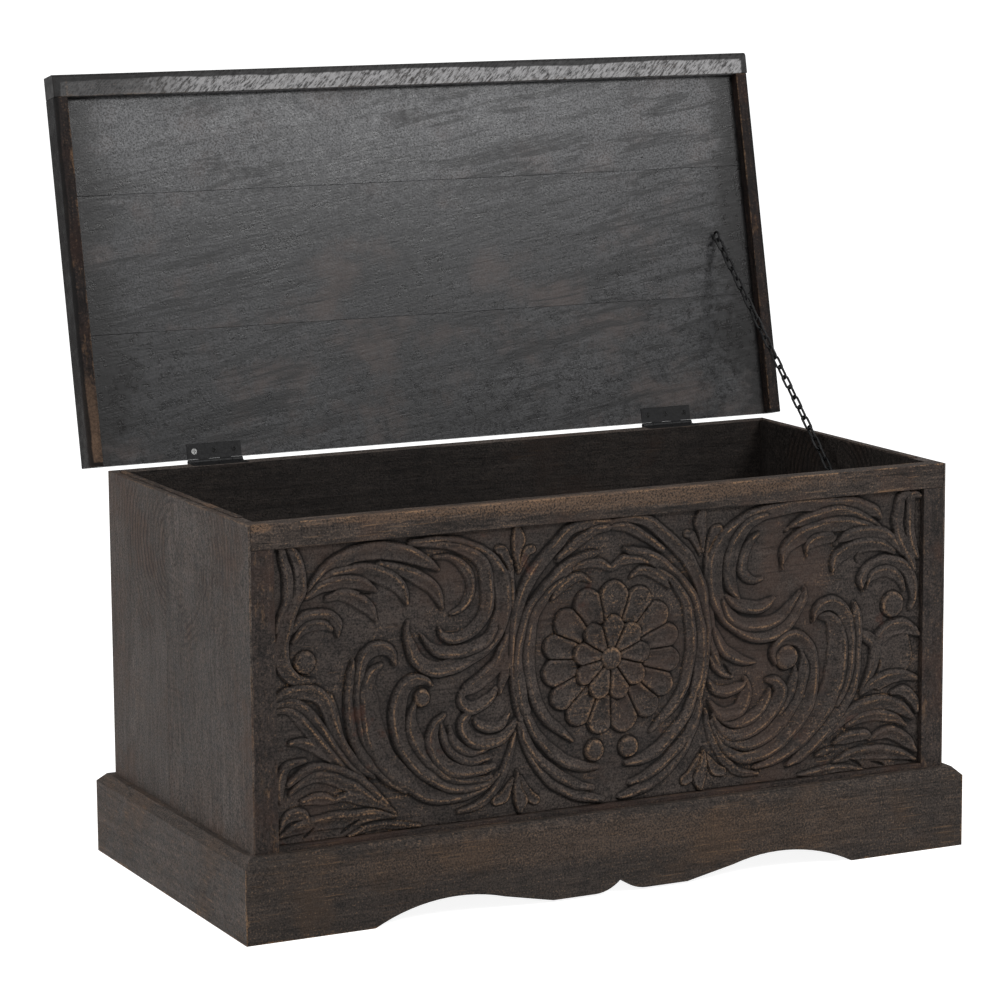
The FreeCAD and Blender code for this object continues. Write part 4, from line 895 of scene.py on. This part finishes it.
def right_fan(relief):
    """The acanthus in the lower right corner."""
    relief.blade(3.0, [(252, 107, -2), (275, 108, -6), (300, 110, -7), (322, 107, -5), (340, 104, -2)])
    relief.blade(2.4, [(300, 117, -2), (322, 124, -9), (350, 127, -12), (375, 124, -12), (398, 117, -8),
        (416, 108, -2)])
    relief.cut([(340, 107, 1.6), (333, 112, 2.6), (322, 117, 0.8)])
    relief.cut([(372, 104, 1.6), (364, 108, 2.6), (352, 112, 0.8)])
    relief.blade(2.0, [(275, 127, -2), (285, 131, -5), (298, 134, -3)])
    relief.blade(1.4, [(300, 141, -2), (312, 145, -8), (327, 148, -10), (344, 147, -9), (352, 140, -3)])
    relief.blade(1.6, [(350, 139, -2), (362, 145, -8), (376, 148, -11), (392, 143, -12), (405, 133, -10),
        (416, 119, -3)])
    relief.blade(1.6, [(337, 197, -3), (347, 205, -8), (360, 212, -10), (376, 216, -11), (396, 215, -9),
        (415, 208, -4)])
    relief.blade(1.4, [(380, 194, -3), (392, 196, -7), (404, 192, -9), (414, 180, -8), (417, 168, -4)])
    relief.blade(1.0, [(290, 149, -3), (300, 161, -8), (314, 173, -11), (337, 184, -13), (360, 187, -13),
        (380, 184, -12), (397, 174, -10), (410, 161, -4)])
    relief.blade(2.4, [(318, 160, -3), (340, 168, -8), (362, 170, -9), (384, 164, -8), (402, 152, -3)])


def right_lower_scroll(relief):
    """The great scroll of the right half, broad bands round a volute."""
    relief.blade(0.8, [(327, 309, -2), (332, 292, -9), (334, 267, -12), (332, 242, -14), (330, 219, -15),
        (325, 200, -16), (312, 180, -16), (295, 160, -15), (275, 142, -13), (252, 127, -8), (236, 120, -3)])
    relief.blade(1.0, [(270, 291, -2), (273, 302, -7), (284, 312, -11), (299, 314, -13), (312, 306, -13),
        (320, 290, -12), (324, 268, -10), (324, 246, -9), (321, 222, -8), (314, 202, -6), (304, 186, -3)])
    relief.blade(1.6, [(279, 296, -3), (292, 296, -10), (303, 288, -15), (311, 270, -20), (314, 247, -23),
        (311, 223, -24), (304, 202, -24), (291, 180, -23), (275, 161, -20), (256, 146, -16),
        (236, 134, -12), (214, 126, -8), (192, 122, -3)])
    relief.blade(0.8, [(218, 246, -3), (215, 258, -8), (221, 269, -11), (233, 277, -13), (248, 278, -14),
        (262, 269, -15), (271, 253, -16), (273, 229, -16), (272, 206, -16), (265, 187, -16),
        (250, 167, -15), (226, 146, -13), (200, 135, -11), (175, 134, -9), (155, 144, -7), (141, 164, -5),
        (133, 186, -3)])
    relief.blade(1.4, [(256, 253, -3), (260, 240, -8), (259, 225, -11), (254, 207, -13), (244, 190, -13),
        (233, 175, -13), (215, 160, -12), (193, 150, -10), (172, 150, -8), (153, 158, -6), (140, 174, -4),
        (133, 190, -2)])
    relief.blade(1.8, [(245, 240, -2), (246, 226, -6), (241, 210, -9), (232, 196, -9), (226, 186, -5)])
    relief.blade(1.0, [(207, 227, -3), (221, 225, -9), (230, 212, -12), (225, 197, -13), (209, 178, -12),
        (187, 165, -11), (162, 163, -9), (144, 174, -6), (134, 192, -3)])
    relief.blade(1.8, [(212, 214, -3), (209, 203, -7), (198, 189, -9), (180, 179, -9), (160, 178, -7),
        (142, 188, -3)])
    relief.blade(1.2, [(178, 232, -3), (182, 220, -9), (181, 206, -13), (172, 192, -13), (152, 188, -11),
        (138, 196, -7), (130, 208, -3)])
    relief.blade(1.6, [(180, 230, 2), (171, 221, -7), (152, 216, -9), (137, 221, -7), (129, 232, -3)])
    relief.blade(1.6, [(136, 292, 5), (147, 269, 8), (162, 257, 9), (178, 251, 6), (191, 249, 2)])
    relief.blade(2.0, [(131, 262, 3), (137, 249, 6), (148, 240, 6), (160, 236, 3)])
    relief.cut([(149, 253, 0.8), (153, 245, 3.0), (160, 238, 1.0)])
    relief.ball((234, 251), 15, 0.6)


def half_relief(side, seed):
    relief = Relief(side, seed)
    left_motifs = (upper_scroll, corner_acanthus, outer_leaf, side_leaf, corner_fan, lower_scroll)
    right_motifs = (right_upper_scroll, right_acanthus, right_side_leaf, right_fan, right_lower_scroll)
    side_motifs = left_motifs if side < 0 else right_motifs
    for motif in (waist, *side_motifs, middle_ring, rosette):
        motif(relief)
    return relief


def panel_grid():
    """The grid of the whole panel: places across and up, depth below its highest points, and crests."""
    left = half_relief(-1, 11)
    right = half_relief(1, 47)
    across = np.concatenate([-left.across[::-1], right.across])
    depth = np.hstack([(left.depth + left.uneven)[:, ::-1], right.depth + right.uneven])
    crest = np.hstack([left.crest[:, ::-1], right.crest])
    return across, left.up, np.clip(depth, 0, GROUND_DEPTH), crest


def hollows(depth):
    """How far each place lies below its surroundings, from 0 to 1, in narrow grooves and wide dips, for the
    painted shade and dirt there.
    """
    height = -depth
    narrow = np.clip((blurred(height, 1.8) - height - 0.25) / 1.1, 0, 1)
    wide = np.clip((blurred(height, 6) - height) / 2.6, 0, 1)
    return np.clip(narrow + 0.5 * wide, 0, 1)


def add_back(points, faces, index):
    """Close the relief with walls down from its outline and a flat back."""
    ring = np.concatenate([index[0, :], index[1:, -1], index[-1, -2::-1], index[-2:0:-1, 0]]).tolist()
    first = len(points)
    points += [(points[number][0], PANEL_BACK_Y, points[number][2]) for number in ring]
    middle = len(points)
    points.append((0, PANEL_BACK_Y, (PANEL_BOTTOM + PANEL_TOP) / 2 * MM))
    count = len(ring)
    pairs = [(number, (number + 1) % count) for number in range(count)]
    faces += [[ring[after], ring[this], first + this, first + after] for this, after in pairs]
    faces += [[first + after, first + this, middle] for this, after in pairs]


def add_box(points, faces, low, high):
    """Append a plain box, six faces, to lists of points and faces."""
    first = len(points)
    for x in (low[0], high[0]):
        for y in (low[1], high[1]):
            for z in (low[2], high[2]):
                points.append((x, y, z))
    for corners in ((0, 1, 3, 2), (4, 6, 7, 5), (0, 4, 5, 1), (2, 3, 7, 6), (0, 2, 6, 4), (1, 5, 7, 3)):
        faces.append([first + corner for corner in corners])


def add_tongue(points, faces):
    """The panel's tongue, all round its edge behind the relief."""
    low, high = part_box("carved_panel")
    front = PANEL_FACE_Y + (GROUND_DEPTH + SKIN) * MM
    add_box(points, faces, (low[0], front, low[2]), (high[0], front + TONGUE_THICKNESS * MM, high[2]))


def add_attribute(mesh, name, field):
    """A value for each point of the relief's grid, and 0 for the points behind it."""
    values = np.zeros(len(mesh.vertices), np.float32)
    values[:field.size] = field.reshape(-1)
    mesh.attributes.new(name, "FLOAT", "POINT").data.foreach_set("value", values)


def carved_panel():
    """The panel as one closed relief with its tongue behind it."""
    across, up, depth, crest = panel_grid()
    rows, columns = depth.shape
    x, z = np.meshgrid(across * MM, up * MM)
    y = PANEL_FACE_Y + depth * MM
    points = np.stack([x, y, z], axis=-1).reshape(-1, 3).tolist()
    index = np.arange(rows * columns).reshape(rows, columns)
    quads = np.stack([index[:-1, :-1], index[:-1, 1:], index[1:, 1:], index[1:, :-1]], axis=-1)
    faces = quads.reshape(-1, 4).tolist()
    carved_faces = len(faces)
    add_back(points, faces, index)
    add_tongue(points, faces)

    mesh = bpy.data.meshes.new("carved_relief")
    mesh.from_pydata(points, [], faces)
    mesh.polygons.foreach_set("use_smooth", np.arange(len(faces)) < carved_faces)
    add_attribute(mesh, "crest", crest)
    add_attribute(mesh, "hollow_dirt_and_shade", hollows(depth))
    mesh.materials.append(carved_wood())
    panel = new_object("carved_relief", mesh)
    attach(panel, "carcass")
    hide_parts("carved_panel")


# Dressing of the other CAD nodes

# Each row: the wood, the way its grain runs, and the nodes made of it
WOODEN_NODES = [
    ("rail", "X", ["front_top_rail"]),
    ("stile", "X", ["front_bottom_rail"]),
    ("stile", "Z", ["front_left_stile", "front_right_stile"]),
    ("side", "Z", ["left_side_front_board", "left_side_rear_board", "right_side_front_board",
                   "right_side_rear_board"]),
    ("rail", "Y", ["left_rim_lath", "right_rim_lath"]),
    ("side", "X", ["back_upper_board", "back_lower_board"]),
    ("inner", "X", ["bottom_front_board", "bottom_rear_board", "bottom_cleat_front", "bottom_cleat_rear"]),
    ("inner", "Y", ["bottom_cleat_left", "bottom_cleat_right"]),
    ("plinth", "X", ["front_apron", "rear_apron"]),
    ("side plinth", "Y", ["left_apron", "right_apron"]),
    ("lid", "X", ["lid_rear_board", "lid_middle_board", "lid_front_board"]),
    ("lip with painted sheen", "X", ["lid_front_lip"]),
    ("lip", "Y", ["lid_left_lip", "lid_right_lip"]),
]

# How far the noises of one piece are moved from those of the piece before it
NOISE_STEP = (1.37, 0.71, 2.13)


def dress(name, material):
    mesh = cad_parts[name].data
    mesh.materials.clear()
    mesh.materials.append(material)


def worn_boxes():
    """The boxes whose edges are rubbed: the carcass, the plinth, the lid and the inside of its lips."""
    lid_lips = ("lid_front_lip", "lid_left_lip", "lid_right_lip")
    lid_boards = ("lid_rear_board", "lid_middle_board", "lid_front_board")
    lid = joint_box(lid_lips, on_lid=True)
    boards_middle, boards_half = joint_box(lid_boards, on_lid=True)
    inside_lips = (Vector((0, boards_middle.y, lid[0].z)), Vector((boards_half.x, boards_half.y, lid[1].z)))
    carcass = joint_box(("front_top_rail", "back_upper_board", "left_side_rear_board",
                         "right_side_rear_board"))
    plinth = joint_box(("front_apron", "rear_apron"))
    return {"carcass": [carcass], "plinth": [plinth], "lid": [lid, inside_lips]}


def inner_space():
    """The box of the room inside the carcass, just over its walls' faces, where shade is painted on them."""
    left, half = joint_box(("left_side_front_board",))
    back, back_half = joint_box(("back_upper_board",))
    rail, rail_half = joint_box(("front_top_rail",))
    low = Vector((left.x + half.x - MM, rail.y + rail_half.y - MM, 0.0))
    high = Vector((-left.x - half.x + MM, back.y - back_half.y + MM, rail.z + rail_half.z - MM))
    return (low + high) / 2, (high - low) / 2


def dress_nodes():
    boxes = worn_boxes()
    painted_shade_box = inner_space()
    pieces = [(name, kind, grain) for kind, grain, names in WOODEN_NODES for name in names]
    for number, (name, kind, grain) in enumerate(pieces):
        group = "lid" if name.startswith("lid") else "plinth" if name.endswith("apron") else "carcass"
        shift = [number * step for step in NOISE_STEP]
        knot = SIDE_KNOT if (kind, grain) == ("side", "Z") else None
        material = wood(name + "_wood", kind, grain, boxes[group], painted_shade_box if group == "carcass" else None,
                        group == "lid", shift, BARE_PATCHES.get(name, ()), knot)
        dress(name, material)
    iron = black_iron()
    steel = screw_steel()
    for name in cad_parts:
        if "screws" in name:
            dress(name, steel)
        elif "hinge" in name or "chain" in name:
            dress(name, iron)


# Floor, light and camera

FLOOR_REACH = 30.0
FLOOR_TONES = (0.52, 0.52, 0.52), (0.56, 0.56, 0.56)
FLOOR_GLOW = 0.90
AMBIENT = 0.5
WHITE = (1, 1, 1, 1)

# Each soft box's place, width, height and power, in metres and watts
LIGHT_AIM = Vector((0.0, -0.2, 0.4))
LIGHTS = {
    "key": ((1.50, -3.0, 2.50), 1.3, 0.8, 66),
    "top": ((-0.5, -1.2, 3.2), 2.2, 1.6, 36),
    "left_fill": ((-3.2, 0.3, 1.4), 1.4, 1.8, 34),
}


def floor():
    """A pale floor that the camera sees nearly white, with the trunk's soft shadow on it."""
    mesh = bpy.data.meshes.new("floor")
    corners = [(x * FLOOR_REACH, y * FLOOR_REACH, 0) for x, y in ((-1, -1), (1, -1), (1, 1), (-1, 1))]
    mesh.from_pydata(corners, [], [(0, 1, 2, 3)])
    plane = new_object("floor", mesh)
    graph = new_material("floor")
    grain = graph.noise(graph.object_place(), 3, detail=3)
    paint = graph.node("BsdfDiffuse", {"Color": graph.blend(grain, *FLOOR_TONES)})
    rays = graph.node("LightPath", {})
    seen = graph.math("MAXIMUM", rays.outputs["Is Camera Ray"], rays.outputs["Is Glossy Ray"])
    glow = graph.node("Emission", {"Color": WHITE, "Strength": graph.times(seen, FLOOR_GLOW)})
    both = graph.node("AddShader", {0: paint.outputs["BSDF"], 1: glow.outputs["Emission"]})
    graph.node("OutputMaterial", {"Surface": both.outputs["Shader"]})
    mesh.materials.append(graph.owner)


def sky():
    """Even light from all round, and plain white where the camera sees it, also through glass."""
    world = bpy.data.worlds.new("studio")
    bpy.context.scene.world = world
    graph = Graph(world)
    rays = graph.node("LightPath", {})
    seen = graph.math("MAXIMUM", rays.outputs["Is Camera Ray"], rays.outputs["Is Transmission Ray"])
    level = graph.node("MapRange", {"Value": seen, "To Min": AMBIENT, "To Max": 1.0})
    background = graph.node("Background", {"Color": WHITE, "Strength": level.outputs["Result"]})
    graph.node("OutputWorld", {"Surface": background.outputs["Background"]})


def lights():
    for name, (place, width, height, power) in LIGHTS.items():
        light = bpy.data.lights.new(name, "AREA")
        light.shape = "RECTANGLE"
        light.size = width
        light.size_y = height
        light.energy = power
        lamp = new_object(name, light)
        lamp.location = place
        lamp.rotation_euler = (LIGHT_AIM - Vector(place)).to_track_quat("-Z", "Y").to_euler()


def photo_camera():
    """The photograph's viewpoint, worked out from the trunk's corners in it."""
    yaw, pitch, roll = (math.radians(angle) for angle in (VIEW_YAW, VIEW_PITCH, VIEW_ROLL))
    forward = Vector((math.sin(yaw) * math.cos(pitch), math.cos(yaw) * math.cos(pitch), -math.sin(pitch)))
    level = Vector((math.cos(yaw), -math.sin(yaw), 0))
    upward = level.cross(forward)
    right = level * math.cos(roll) + upward * math.sin(roll)
    up = upward * math.cos(roll) - level * math.sin(roll)
    lens = bpy.data.cameras.new("photo_camera")
    lens.sensor_width = SENSOR_MM
    lens.lens = FOCAL_PIXELS * SENSOR_MM / IMAGE_PIXELS
    lens.clip_end = 100
    camera = new_object("photo_camera", lens)
    turn = Matrix((right, up, -forward)).transposed().to_4x4()
    camera.matrix_world = Matrix.Translation(VIEW_TARGET - forward * VIEW_DISTANCE) @ turn
    bpy.context.scene.camera = camera


carved_panel()
dress_nodes()
floor()
sky()
lights()
photo_camera()
bpy.context.scene.view_settings.view_transform = "Standard"
